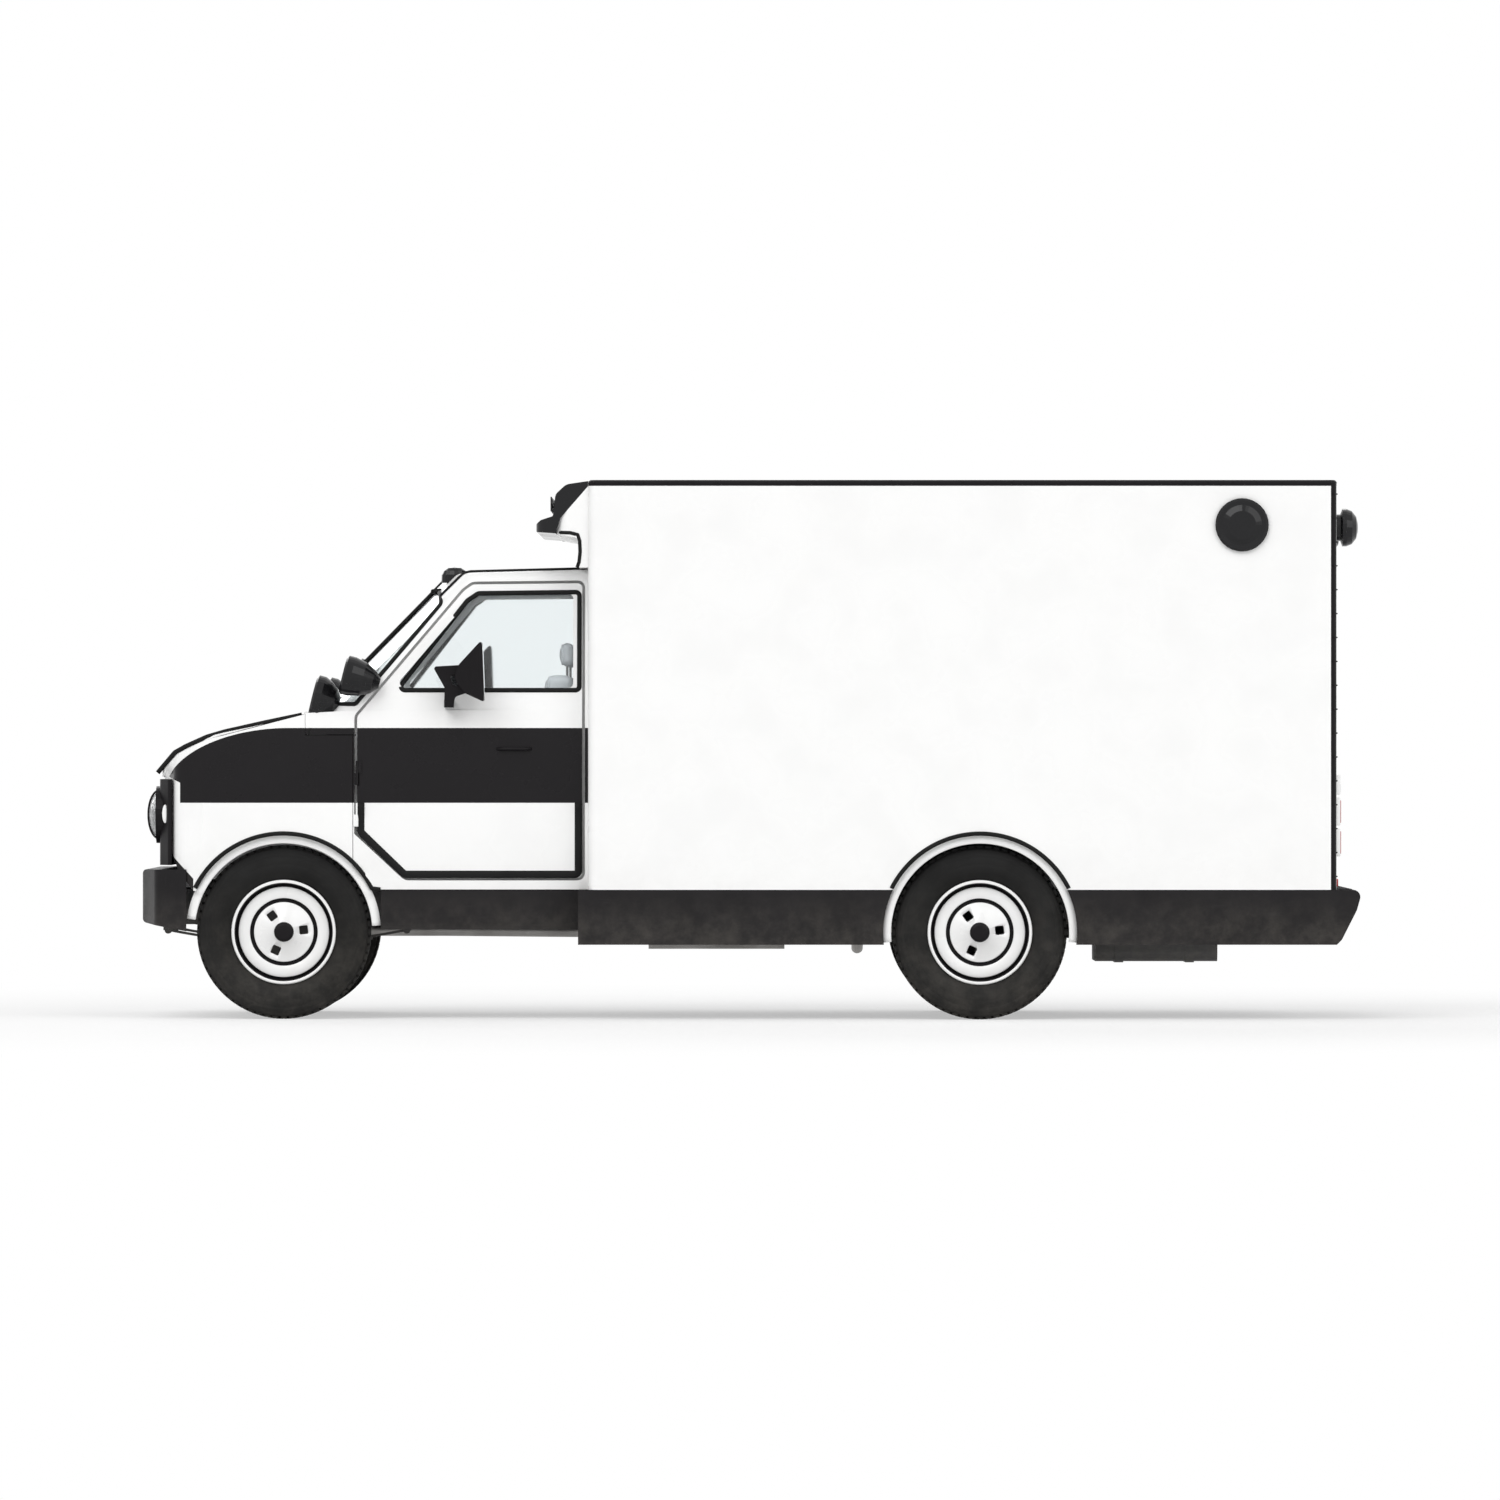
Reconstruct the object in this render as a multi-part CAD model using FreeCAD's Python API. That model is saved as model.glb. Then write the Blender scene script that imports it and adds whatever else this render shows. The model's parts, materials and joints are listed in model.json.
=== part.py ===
"""Box-type ambulance on a cut-away van chassis, full size, in millimetres.

The vehicle stands on its wheels at Z 0 and faces -X. +Y is its right-hand side and +Z is up.
X 0 is the middle of the overall length. Every piece that another piece seats in, or passes, takes its
place from the same named sizes.
"""
import FreeCAD
import Part
import math
import os

V = FreeCAD.Vector

# Whole vehicle
FRONT_AXLE_X = -2347.0
WHEELBASE = 3505.0
REAR_AXLE_X = FRONT_AXLE_X + WHEELBASE
SILL_Z = 653.0
BELT_Z = 1548.0
SKIRT_BOTTOM_Z = 377.0

# Wheels and tyres
TYRE_R = 438.0
TYRE_W = 250.0
RIM_SEAT_R = 246.0
WHEEL_SIDES = 32
RIM_FLANGE_R = 262.0
RIM_WELL_R = 212.0
HAND_HOLE_HALF = 22.0
HAND_HOLE_CIRCLE_R = 100.0
HAND_HOLE_COUNT = 3
RUNNING_FIT = 0.05
TWIN_GAP = 40.0
FRONT_TYRE_OUT_Y = 978.0
REAR_TYRE_OUT_Y = 1128.0
FRONT_WHEEL_Y = FRONT_TYRE_OUT_Y - TYRE_W / 2
REAR_OUTER_Y = REAR_TYRE_OUT_Y - TYRE_W / 2
REAR_INNER_Y = REAR_OUTER_Y - TYRE_W - TWIN_GAP
ARCH_R = 487.0
ARCH_LINER_T = 8.0
ARCH_LIP = 18.0

# Cab
CAB_HALF_W = 1008.0
CAB_REAR_X = -811.0
CAB_WALL = 75.0
CAB_SKIN = 54.0
DOOR_GAP = 14.5
DOOR_LAP = 26.0
FIREWALL_X = -1995.0
COWL_X = -2236.0
COWL_DROP = 108.0
WINDSCREEN_BASE_X = -2215.0
WINDSCREEN_TOP_X = -1540.0
ROOF_FRONT_Z = 2236.0
ROOF_REAR_Z = 2266.0
WINDSCREEN_SWEEP = 110.0
GLASSHOUSE_BASE_HALF_W = 972.0
GLASSHOUSE_TOP_HALF_W = 868.0
GLASS_T = 6.0

# Nose
NOSE_X = -3000.0
NOSE_Z = 1245.0
HOOD_BREAK_X = -2743.0
HOOD_BREAK_Z = 1436.0
HOOD_REAR_Z = 1541.0
HOOD_HALF_W = 742.0
HOOD_T = 26.0
HOOD_GAP = 8.0
HOOD_LIFT_GAP = 6.5
HOOD_HOLE_Z = 1215.0
HOOD_HINGE_X = -2246.0
HOOD_HINGE_Z = 1541.0
HOOD_HINGE_R = 9.0
HOOD_HINGE_YS = (-600, 600)
FENDER_FRONT_X = -2912.0
FENDER_T = 26.0
APRON_Y = 462.0
GRILLE_X = -2975.0
LAMP_FRONT_X = -3035.0
LAMP_RIM_X = -2996.0
LAMP_SIDES = 32
LAMP_R = 122.0
LAMP_Y = 745.0
LAMP_Z = 1029.0

# Patient compartment
BOX_HALF_W = 1170.0
BOX_FRONT_X = CAB_REAR_X
BOX_REAR_X = 2949.0
BOX_TOP_Z = 2711.0
BOX_WALL = 55.0
BOX_ROOF_T = 60.0
BOX_FLOOR_Z = 760.0
BOX_FLOOR_T = 60.0
BOX_CORNER_R = 40.0
CAP_HALF_W = 1130.0
PASS_HALF_W = 330.0
REAR_DOOR_W = 600.0
REAR_DOOR_TOP_Z = 2330.0
REAR_DOOR_GAP = 7.0
BOX_DOOR_T = 40.0
BOX_DOOR_LAP = 18.0
BOX_DOOR_BOTTOM_Z = 735.0
TRIM_W = 30.0
HINGE_OUT = 11.0
HINGE_R = 7.0
HINGE_PIN_R = 3.5
HINGE_LEAF_H = 60.0
HINGE_HEIGHTS = (900, 1500, 2150)
CAB_HINGE_HEIGHTS = (970, 1180)
CAB_HINGE_Y = -1012.0
SIDE_LAMP_X = 2472.0
SIDE_LAMP_Z = 2485.0
SIDE_LAMP_R = 134.0
REAR_LAMP_R = 95.0
REAR_LAMP_Y = 960.0
REAR_LAMP_Z = 2475.0
LOCKER_Y = -760.0
COUNTER_Y = -640.0
WELL_Y = 560.0
SIDE_DOOR_X0 = -640.0
SIDE_DOOR_W = 780.0
SIDE_DOOR_TOP_Z = 2450.0
BUMPER_REAR_X = 3070.0
SKIRT_T = 34.0
SKIRT_FRONT_X = -861.0
CAB_SILL_Y = 984.0

# Fittings
MARKER_X = -1496.0
PILLAR_LAMP_Y = 1000.0
COWL_LAMP_Y = 900.0
SPOT_TILT = 14.0
MIRROR_Y = -1120.0
COLUMN_ANGLE = 35.0
COLUMN = V(math.cos(math.radians(COLUMN_ANGLE)), 0, math.sin(math.radians(COLUMN_ANGLE)))
WHEEL_CENTRE = V(-1570, -565, 1430)
COLUMN_PIN_R = 12.0
ENGINE_COVER_X = -1460.0
SEAT_Y = 565.0

# Frame and running gear
SEAT_FIT = 0.3
RAIL_OUT_Y = 432.0
RAIL_W = 70.0
RAIL_H = 170.0
RAIL_TOP_Z = 640.0
RAIL_T = 10.0
RAIL_MID_Y = RAIL_OUT_Y - RAIL_W / 2
RAIL_FRONT_X = -3030.0
RAIL_REAR_X = 2940.0
LASHING_BORE_R = 15.0
LASHING_BORE_X = 2650.0
KINGPIN_Y = FRONT_WHEEL_Y - 50.0
KINGPIN_R = 20.0
SPINDLE_R = 28.0
AXLE_END_R = 40.0
HUB_INNER_Y = 582.0
DRIVE_Z = 570.0


def outline(points, place):
    """Closed wire through (u, v) or (u, v, radius) corners; a radius rounds that corner with an arc."""
    edges = []
    count = len(points)
    starts = []
    for i, p in enumerate(points):
        here = V(p[0], p[1], 0)
        radius = p[2] if len(p) > 2 else 0
        before = V(points[i - 1][0], points[i - 1][1], 0) - here
        after = V(points[(i + 1) % count][0], points[(i + 1) % count][1], 0) - here
        if radius <= 0:
            starts.append((here, None, here))
            continue
        before.normalize()
        after.normalize()
        half = math.acos(max(-1.0, min(1.0, before.dot(after)))) / 2
        reach = radius / math.tan(half)
        middle = (before + after).normalize() * (radius / math.sin(half) - radius)
        starts.append((here + before * reach, here + middle, here + after * reach))
    for i, (first, mid, last) in enumerate(starts):
        if mid is not None:
            edges.append(Part.Arc(place(first.x, first.y), place(mid.x, mid.y), place(last.x, last.y)).toShape())
        following = starts[(i + 1) % count][0]
        if last.distanceToPoint(following) > 1e-6:
            edges.append(Part.LineSegment(place(last.x, last.y), place(following.x, following.y)).toShape())
    return Part.Wire(edges)


def face_of(points, place, grow=0.0):
    face = Part.Face(outline(points, place))
    if not grow:
        return face
    moved = face.makeOffset2D(grow, join=2)
    return max(moved.Faces, key=lambda f: f.Area)


def along_y(points, y0, y1, grow=0.0):
    """Solid with an outline in X and Z, from y0 to y1."""
    return face_of(points, lambda u, v: V(u, y0, v), grow).extrude(V(0, y1 - y0, 0))


def along_x(points, x0, x1, grow=0.0):
    """Solid with an outline in Y and Z, from x0 to x1."""
    return face_of(points, lambda u, v: V(x0, u, v), grow).extrude(V(x1 - x0, 0, 0))


def along_z(points, z0, z1, grow=0.0):
    """Solid with an outline in X and Y, from z0 to z1."""
    return face_of(points, lambda u, v: V(u, v, z0), grow).extrude(V(0, 0, z1 - z0))


def box(x0, x1, y0, y1, z0, z1):
    return Part.makeBox(x1 - x0, y1 - y0, z1 - z0, V(x0, y0, z0))


def rod(radius, start, end):
    line = V(*end) - V(*start)
    return Part.makeCylinder(radius, line.Length, V(*start), line)


def turned(profile, sides, place):
    """Solid of revolution with flat sides: profile is (radius, height) corners in order.

    place turns (radius, angle, height) into a point. The first side starts on a corner at angle 0.
    """
    faces = []
    corners = []
    for i in range(sides):
        angle = 2 * math.pi * i / sides
        corners.append([place(r, angle, h) for r, h in profile])
    count = len(profile)
    for i in range(sides):
        here, there = corners[i], corners[(i + 1) % sides]
        for k in range(count):
            n = (k + 1) % count
            ring = [here[k], here[n], there[n], there[k]]
            kept = [p for j, p in enumerate(ring) if p.distanceToPoint(ring[j - 1]) > 1e-6]
            if len(kept) > 2:
                faces.append(Part.Face(Part.makePolygon(kept + [kept[0]])))
    solid = Part.Solid(Part.Shell(faces))
    return solid if solid.Volume > 0 else solid.reversed()


def turned_y(profile, x, y, z, sides, side=1):
    """Turned solid about a line along Y through (x, z); heights run from y towards side."""
    return turned(profile, sides, lambda r, t, h: V(x + r * math.cos(t), y + h * side, z + r * math.sin(t)))


def turned_x(profile, x, y, z, sides, side=1):
    """Turned solid about a line along X through (y, z); heights run from x towards side."""
    return turned(profile, sides, lambda r, t, h: V(x + h * side, y + r * math.cos(t), z + r * math.sin(t)))


def tube(path, radius, bend):
    """Round bar along a path of points, its corners rounded to one bend radius."""
    edges = []
    last = V(*path[0])
    for i in range(1, len(path) - 1):
        corner = V(*path[i])
        before = (V(*path[i - 1]) - corner).normalize()
        after = (V(*path[i + 1]) - corner).normalize()
        half = math.acos(max(-1.0, min(1.0, before.dot(after)))) / 2
        reach = bend / math.tan(half)
        middle = corner + (before + after).normalize() * (bend / math.sin(half) - bend)
        edges.append(Part.LineSegment(last, corner + before * reach).toShape())
        edges.append(Part.Arc(corner + before * reach, middle, corner + after * reach).toShape())
        last = corner + after * reach
    edges.append(Part.LineSegment(last, V(*path[-1])).toShape())
    spine = Part.Wire(edges)
    section = Part.Wire(Part.makeCircle(radius, V(*path[0]), V(*path[1]) - V(*path[0])))
    return spine.makePipeShell([section], True, False)


def fused(first, *rest):
    return first.fuse([s for s in rest]).removeSplitter() if rest else first


def less(shape, tools):
    """The shape with each tool cut away in turn."""
    for tool in tools:
        shape = shape.cut(tool)
    return shape


def mirrored(shape):
    return shape.mirror(V(0, 0, 0), V(0, 1, 0))


def both_sides(shape):
    """The shape and its mirror image, as two solids that don't touch."""
    return Part.makeCompound([shape, mirrored(shape)])


def save(name, shape):
    solids = shape.Solids
    bad = [s for s in solids if not s.isValid() or s.Volume <= 0]
    if bad or not solids:
        print("CHECK", name, len(solids), "solids,", len(bad), "bad")
    kept = solids[0] if len(solids) == 1 else Part.makeCompound(solids)
    kept.exportStep(os.path.join("parts", name + ".step"))
    size = Part.makeCompound([kept]).BoundBox
    print(f"{name:22s} solids {len(solids):2d}  X {size.XMin:7.0f} {size.XMax:7.0f}"
          f"  Y {size.YMin:6.0f} {size.YMax:6.0f}  Z {size.ZMin:5.0f} {size.ZMax:5.0f}")


# Outlines of the cab, in X and Z
HOOD_LINE = [(NOSE_X, NOSE_Z, 26), (-2905, 1352, 260), (HOOD_BREAK_X, HOOD_BREAK_Z, 700)]
FENDER_LINE = [(FENDER_FRONT_X, 1150), (-2972, 1236, 24), (-2890, 1330, 260), (-2735, 1406, 500)]

DOOR_FRONT_X = -1975.0
DOOR_REAR_X = -843.0
DOOR_BOTTOM_Z = 713.0
DOOR = [(DOOR_FRONT_X, 939), (DOOR_FRONT_X, 1524, 30), (-1441, 2156, 60), (-1395, 2190, 40),
        (DOOR_REAR_X, 2196, 24), (DOOR_REAR_X, DOOR_BOTTOM_Z, 24), (-1730, DOOR_BOTTOM_Z, 40)]
DOOR_WINDOW = [(-1792, 1668, 26), (-1414, 2112, 60), (-1360, 2134, 40), (-888, 2142, 24), (-888, 1668, 24)]


def lower_section(inset, half_w):
    """Cross-section of the body below the belt: barrel sides that lean in towards the belt."""
    w = half_w - inset
    side = Part.Arc(V(0, -(w - 26), SILL_Z - 60), V(0, -w, 1130), V(0, -(w - 34), 1600))
    other = Part.Arc(V(0, w - 34, 1600), V(0, w, 1130), V(0, w - 26, SILL_Z - 60))
    ends = [Part.LineSegment(V(0, -(w - 34), 1600), V(0, w - 34, 1600)),
            Part.LineSegment(V(0, w - 26, SILL_Z - 60), V(0, -(w - 26), SILL_Z - 60))]
    wire = Part.Wire([side.toShape(), ends[0].toShape(), other.toShape(), ends[1].toShape()])
    wire.translate(V(-3200, 0, 0))
    return Part.Face(wire).extrude(V(2500, 0, 0))


def glasshouse(inset, ends):
    """Upper cab: plan sections with a bowed windscreen, lofted from below the belt to above the roof."""
    rings = []
    run = (WINDSCREEN_TOP_X - WINDSCREEN_BASE_X) / (ROOF_FRONT_Z - BELT_Z)
    lean = (GLASSHOUSE_TOP_HALF_W - GLASSHOUSE_BASE_HALF_W) / (ROOF_FRONT_Z - BELT_Z)
    base_z = BELT_Z - 50 - 0.6 * inset
    for z in (base_z, ROOF_REAR_Z + 60):
        middle = WINDSCREEN_BASE_X + run * (z - BELT_Z) + ends * 1.4
        half = GLASSHOUSE_BASE_HALF_W + lean * (z - BELT_Z) - inset
        side = middle + WINDSCREEN_SWEEP
        rings.append(Part.Wire([
            Part.Arc(V(side, -half, z), V(middle, 0, z), V(side, half, z)).toShape(),
            Part.LineSegment(V(side, half, z), V(CAB_REAR_X, half, z)).toShape(),
            Part.LineSegment(V(CAB_REAR_X, half, z), V(CAB_REAR_X, -half, z)).toShape(),
            Part.LineSegment(V(CAB_REAR_X, -half, z), V(side, -half, z)).toShape()]))
    body = Part.makeLoft(rings, True, True)
    corners = [e for e in body.Edges
               if abs(e.Vertexes[0].Z - e.Vertexes[-1].Z) > 100 and e.BoundBox.XMin < CAB_REAR_X - 200]
    body = body.makeFillet(max(110 - inset, 30), corners)
    roof = [(COWL_X + ends, base_z), (COWL_X + ends, ROOF_FRONT_Z - ends), (-1440, ROOF_FRONT_Z + 14 - ends, 300),
            (CAB_REAR_X, ROOF_REAR_Z - ends), (CAB_REAR_X, base_z)]
    body = body.common(along_y(roof, -1200, 1200))
    rim = [e for e in body.Edges
           if e.BoundBox.ZMin > ROOF_FRONT_Z - ends - 80 and e.BoundBox.ZLength < 60
           and e.BoundBox.XMin < CAB_REAR_X - 30]
    return body.makeFillet(max(60 - inset, 12), rim)


def cab_form(inset, ends):
    """Form of the cab from the cowl back, pushed in by inset at its sides and by ends at front, top and floor."""
    belt = BELT_Z - (inset - ends)
    cowl = [(CAB_REAR_X + ends, SILL_Z), (CAB_REAR_X + ends, belt + 10), (-1985, belt + 6),
            (COWL_X, HOOD_REAR_Z), (COWL_X, HOOD_REAR_Z - COWL_DROP), (FIREWALL_X, HOOD_REAR_Z - COWL_DROP),
            (FIREWALL_X, SILL_Z)]
    lower = along_y(cowl, -1200, 1200, -ends).common(lower_section(inset, CAB_HALF_W))
    return lower.fuse(glasshouse(inset, ends)).removeSplitter()


def arch_cylinder(x, radius, y0, y1):
    return rod(radius, (x, y0, TYRE_R), (x, y1, TYRE_R))


OUTER = cab_form(0, 0)
UNDER_SKIN = cab_form(CAB_SKIN + 6, 0)
INNER = cab_form(CAB_WALL, CAB_WALL)
WINDSCREEN_AREA = [(-2400, 1592), (-1983, 1592), (-1562, 2090, 20), (-1572, 2150, 30), (-1700, 2170),
                   (-2400, 2170)]


def left_half(points, grow=0.0):
    return along_y(points, -1300, -300, grow)


def hinge_knuckles(x, y, moving, heights=HINGE_HEIGHTS):
    """Round parts of the hinges on one upright line: the fixed ones carry pins, the moving ones turn on them."""
    parts = []
    for z in heights:
        if moving:
            sleeve = rod(HINGE_R, (x, y, z + HINGE_LEAF_H + 0.3), (x, y, z + 2 * HINGE_LEAF_H))
            parts.append(sleeve.cut(rod(HINGE_PIN_R + RUNNING_FIT, (x, y, z), (x, y, z + 3 * HINGE_LEAF_H))))
        else:
            parts.append(rod(HINGE_R, (x, y, z), (x, y, z + HINGE_LEAF_H)))
            parts.append(rod(HINGE_PIN_R, (x, y, z), (x, y, z + 2 * HINGE_LEAF_H)))
    return parts


def hinge_leaf_heights(moving, heights=HINGE_HEIGHTS):
    """Lower and upper height of each hinge leaf."""
    lift = HINGE_LEAF_H + 0.3 if moving else 0
    return [(z + lift, z + (2 if moving else 1) * HINGE_LEAF_H) for z in heights]


def cab_hinges(moving):
    """Hinge halves at the front edge of the left cab door."""
    bore = rod(HINGE_PIN_R + RUNNING_FIT, (DOOR_FRONT_X, CAB_HINGE_Y, 700), (DOOR_FRONT_X, CAB_HINGE_Y, 1500))
    step = HINGE_R if moving else -HINGE_R
    far = 22 if moving else FIREWALL_X + 1 - DOOR_FRONT_X
    leaves = []
    for z0, z1 in hinge_leaf_heights(moving, CAB_HINGE_HEIGHTS):
        for a, b, deep in ((0, step, HINGE_R), (step, far, 24)):
            x0, x1 = sorted((DOOR_FRONT_X + a, DOOR_FRONT_X + b))
            leaves.append(box(x0, x1, CAB_HINGE_Y - 2, CAB_HINGE_Y + deep, z0, z1).cut(bore))
    return leaves + hinge_knuckles(DOOR_FRONT_X, CAB_HINGE_Y, moving, CAB_HINGE_HEIGHTS)


def make_cab_shell():
    """Roof, pillars, floor, firewall and cowl, with stepped door openings that the doors close against."""
    rebate = left_half(DOOR, DOOR_GAP).cut(UNDER_SKIN)
    lap_hole = left_half(DOOR, -DOOR_LAP)
    tools = [INNER, rebate, mirrored(rebate), lap_hole, mirrored(lap_hole),
             along_y(WINDSCREEN_AREA, -1200, 1200),
             box(-2100, -1480, -340, 340, SILL_Z - 10, 1190)]
    for y0, y1 in ((-1200, -462), (462, 1200)):
        tools.append(arch_cylinder(FRONT_AXLE_X, ARCH_R + ARCH_LINER_T + 6, y0, y1))
    shell = less(OUTER, tools)
    x, z = HOOD_HINGE_X, HOOD_HINGE_Z
    lugs = []
    for y in HOOD_HINGE_YS:
        lugs += [rod(HOOD_HINGE_R, (x, y - 8, z), (x, y + 8, z)), box(x, COWL_X + 4, y - 8, y + 8, z - 9, z + 9),
                 rod(HINGE_PIN_R, (x, y - 30, z), (x, y + 30, z))]
    halves = cab_hinges(False)
    return fused(shell, *lugs, *halves, *[mirrored(half) for half in halves])


def make_windscreen():
    pane = cab_form(12, 12).cut(cab_form(12 + GLASS_T, 12 + GLASS_T))
    area = along_y(WINDSCREEN_AREA, -1200, 1200, -0.2)
    return pane.common(area)


def make_cab_door():
    door = OUTER.cut(cab_form(CAB_SKIN, 0)).common(left_half(DOOR)).cut(left_half(DOOR_WINDOW))
    pull = [(-1290, 1330, 18), (-1290, 1392, 18), (-1080, 1392, 18), (-1080, 1330, 18)]
    recess = left_half(pull).common(UNDER_SKIN.cut(cab_form(CAB_SKIN - 24, 0)))
    bore = rod(HINGE_PIN_R + RUNNING_FIT, (DOOR_FRONT_X, CAB_HINGE_Y, 800), (DOOR_FRONT_X, CAB_HINGE_Y, 1450))
    clear = [rod(HINGE_R + 5.5, (DOOR_FRONT_X, CAB_HINGE_Y, z - 6),
                 (DOOR_FRONT_X, CAB_HINGE_Y, z + HINGE_LEAF_H + 0.3)) for z in CAB_HINGE_HEIGHTS]
    return fused(less(door, [recess, bore, *clear]), *cab_hinges(True))


def make_door_glass():
    pane = cab_form(22, 0).cut(cab_form(22 + GLASS_T, 0))
    return pane.common(left_half(DOOR_WINDOW, -1))


# Nose of the vehicle
GRILLE_HALF_H = 168.0
GRILLE_BARS = 6


def light_bar_windows():
    """The five lamp windows of the light bar as (y0, y1, z0, z1)."""
    return [((i - 2) * 420 - 150, (i - 2) * 420 + 150, 2556, 2632) for i in range(5)]


def nose_form(inset, bottom):
    """Fenders and nose as one block under the fender line."""
    side = FENDER_LINE + [(COWL_X - 2, HOOD_REAR_Z - 6), (COWL_X - 2, HOOD_REAR_Z - COWL_DROP - 4),
                          (FIREWALL_X - 3, HOOD_REAR_Z - COWL_DROP - 4), (FIREWALL_X - 3, bottom),
                          (-2800, bottom), (-2872, bottom + 90), (FENDER_FRONT_X, bottom + 190)]
    block = along_y(side, -1200, 1200, -inset).common(lower_section(inset, CAB_HALF_W))
    plan = [(FIREWALL_X - 3, -1100), (-2560, -1100), (-2760, -1004, 300), (-2890, -962, 90),
            (-2976, -640, 300), (-2976, 640, 300), (-2890, 962, 90), (-2760, 1004, 300),
            (-2560, 1100), (FIREWALL_X - 3, 1100)]
    return block.common(along_z(plan, 300, 1700, -inset))


def make_front_clip():
    """Fenders, nose panel, inner aprons and wheelhouse liners in one piece, open above for the engine."""
    outer = nose_form(0, 646)
    inner = nose_form(FENDER_T, 560)
    arch = [arch_cylinder(FRONT_AXLE_X, ARCH_R, y0, y1) for y0, y1 in ((-1200, -462), (462, 1200))]
    hood_hole = box(-2990, COWL_X + 1, -HOOD_HALF_W + 14, HOOD_HALF_W - 14, HOOD_HOLE_Z, 1700)
    mouth = box(-3100, -2860, -590, 590, LAMP_Z - GRILLE_HALF_H + 10, LAMP_Z + GRILLE_HALF_H - 10)
    floor_hole = box(-2880, -1900, -455, 455, 400, 760)
    sockets = [rod(LAMP_R + 0.2, (-3100, y, LAMP_Z), (-2800, y, LAMP_Z)) for y in (-LAMP_Y, LAMP_Y)]
    firewall_hole = box(-2100, -1990, -APRON_Y + 1, APRON_Y - 1, 600, 1436)
    skin = less(outer, [inner, hood_hole, mouth, floor_hole, firewall_hole, *arch, *sockets])
    liners = []
    for y0, y1 in ((-980, -462), (462, 980)):
        tub = arch_cylinder(FRONT_AXLE_X, ARCH_R + ARCH_LINER_T, y0, y1)
        keep = box(-2810, FIREWALL_X + 60, y0, y1, 646, 1100)
        liners.append(tub.cut(arch_cylinder(FRONT_AXLE_X, ARCH_R, y0 - 1, y1 + 1)).common(keep))
    aprons = []
    for y0, y1 in ((-478, -462), (462, 478)):
        apron = [(-2886, 700), (-2886, 1180, 40), (-2560, 1270, 100), (FIREWALL_X - 3, 1300), (FIREWALL_X - 3, 700)]
        aprons.append(along_y(apron, y0, y1).cut(arch_cylinder(FRONT_AXLE_X, ARCH_R - 60, y0 - 1, y1 + 1)))
    return fused(skin, *liners, *aprons)


def hood_block(inset):
    side = HOOD_LINE + [(COWL_X - HOOD_GAP, HOOD_REAR_Z - 2), (COWL_X - HOOD_GAP, 1150), (NOSE_X, 1150)]
    plan = [(COWL_X - HOOD_GAP, -HOOD_HALF_W), (-2860, -HOOD_HALF_W, 260), (NOSE_X + 22, -520, 240),
            (NOSE_X, 0, 900), (NOSE_X + 22, 520, 240), (-2860, HOOD_HALF_W, 260), (COWL_X - HOOD_GAP, HOOD_HALF_W)]
    return along_y(side, -900, 900, -inset).common(along_z(plan, 1000, 1700, -inset))


def make_hood():
    """Hood panel: a crowned skin with a turned-down rim, stood proud of the fenders."""
    block = hood_block(0)
    rim = [e for e in block.Edges if e.BoundBox.ZMin > 1215 and e.BoundBox.XLength > 100
           and e.BoundBox.YLength < 300 and abs(e.CenterOfMass.y) > HOOD_HALF_W - 60]
    block = block.makeFillet(16, rim) if rim else block
    under = nose_form(0, 300).cut(box(-3100, COWL_X, -HOOD_HALF_W + HOOD_T, HOOD_HALF_W - HOOD_T, 200, 1700))
    under.translate(V(0, 0, HOOD_LIFT_GAP))
    wide = box(-3100, COWL_X + 100, -1300, 1300, 1000, HOOD_HOLE_Z + HOOD_LIFT_GAP)
    inner = HOOD_HALF_W - HOOD_T
    rear_wall = box(COWL_X - 80, COWL_X, -inner, inner, 1000, HOOD_HINGE_Z - 41)
    hood = less(block, [hood_block(HOOD_T), under, wide, rear_wall])
    x, z = HOOD_HINGE_X, HOOD_HINGE_Z
    for y in HOOD_HINGE_YS:
        eye = rod(HOOD_HINGE_R, (x, y - 30, z), (x, y + 30, z))
        hood = less(hood.fuse(eye), [box(x - 16, x + 20, y - 8.3, y + 8.3, z - 40, z + 20),
                                     rod(HINGE_PIN_R + RUNNING_FIT, (x, y - 40, z), (x, y + 40, z))])
    return hood


def make_grille():
    """Black nose surround over the full width, with lamp holes and a barred air opening."""
    plan = [(FENDER_FRONT_X, -940), (-2930, -928, 20), (GRILLE_X, -850, 60), (GRILLE_X, 850, 60),
            (-2930, 928, 20), (FENDER_FRONT_X, 940)]
    panel = along_z(plan, 775, 1208)
    panel = panel.cut(nose_form(0, 646))
    mouth = [(-560, LAMP_Z - 140, 20), (560, LAMP_Z - 140, 20), (560, LAMP_Z + 140, 20), (-560, LAMP_Z + 140, 20)]
    hollow = along_x(mouth, -3100, -2800)
    sockets = [rod(LAMP_R + 24, (-3100, y, LAMP_Z), (-2800, y, LAMP_Z)) for y in (-LAMP_Y, LAMP_Y)]
    panel = less(panel, [hollow, *sockets])
    bars = []
    for i in range(GRILLE_BARS):
        z = LAMP_Z - 140 + (i + 1) * 280 / (GRILLE_BARS + 1)
        bars.append(box(GRILLE_X + 4, GRILLE_X + 44, -562, 562, z - 9, z + 9))
    posts = [box(GRILLE_X + 8, GRILLE_X + 40, y - 8, y + 8, LAMP_Z - 142, LAMP_Z + 142) for y in (-280, 0, 280)]
    return fused(panel, *bars, *posts)


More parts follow.
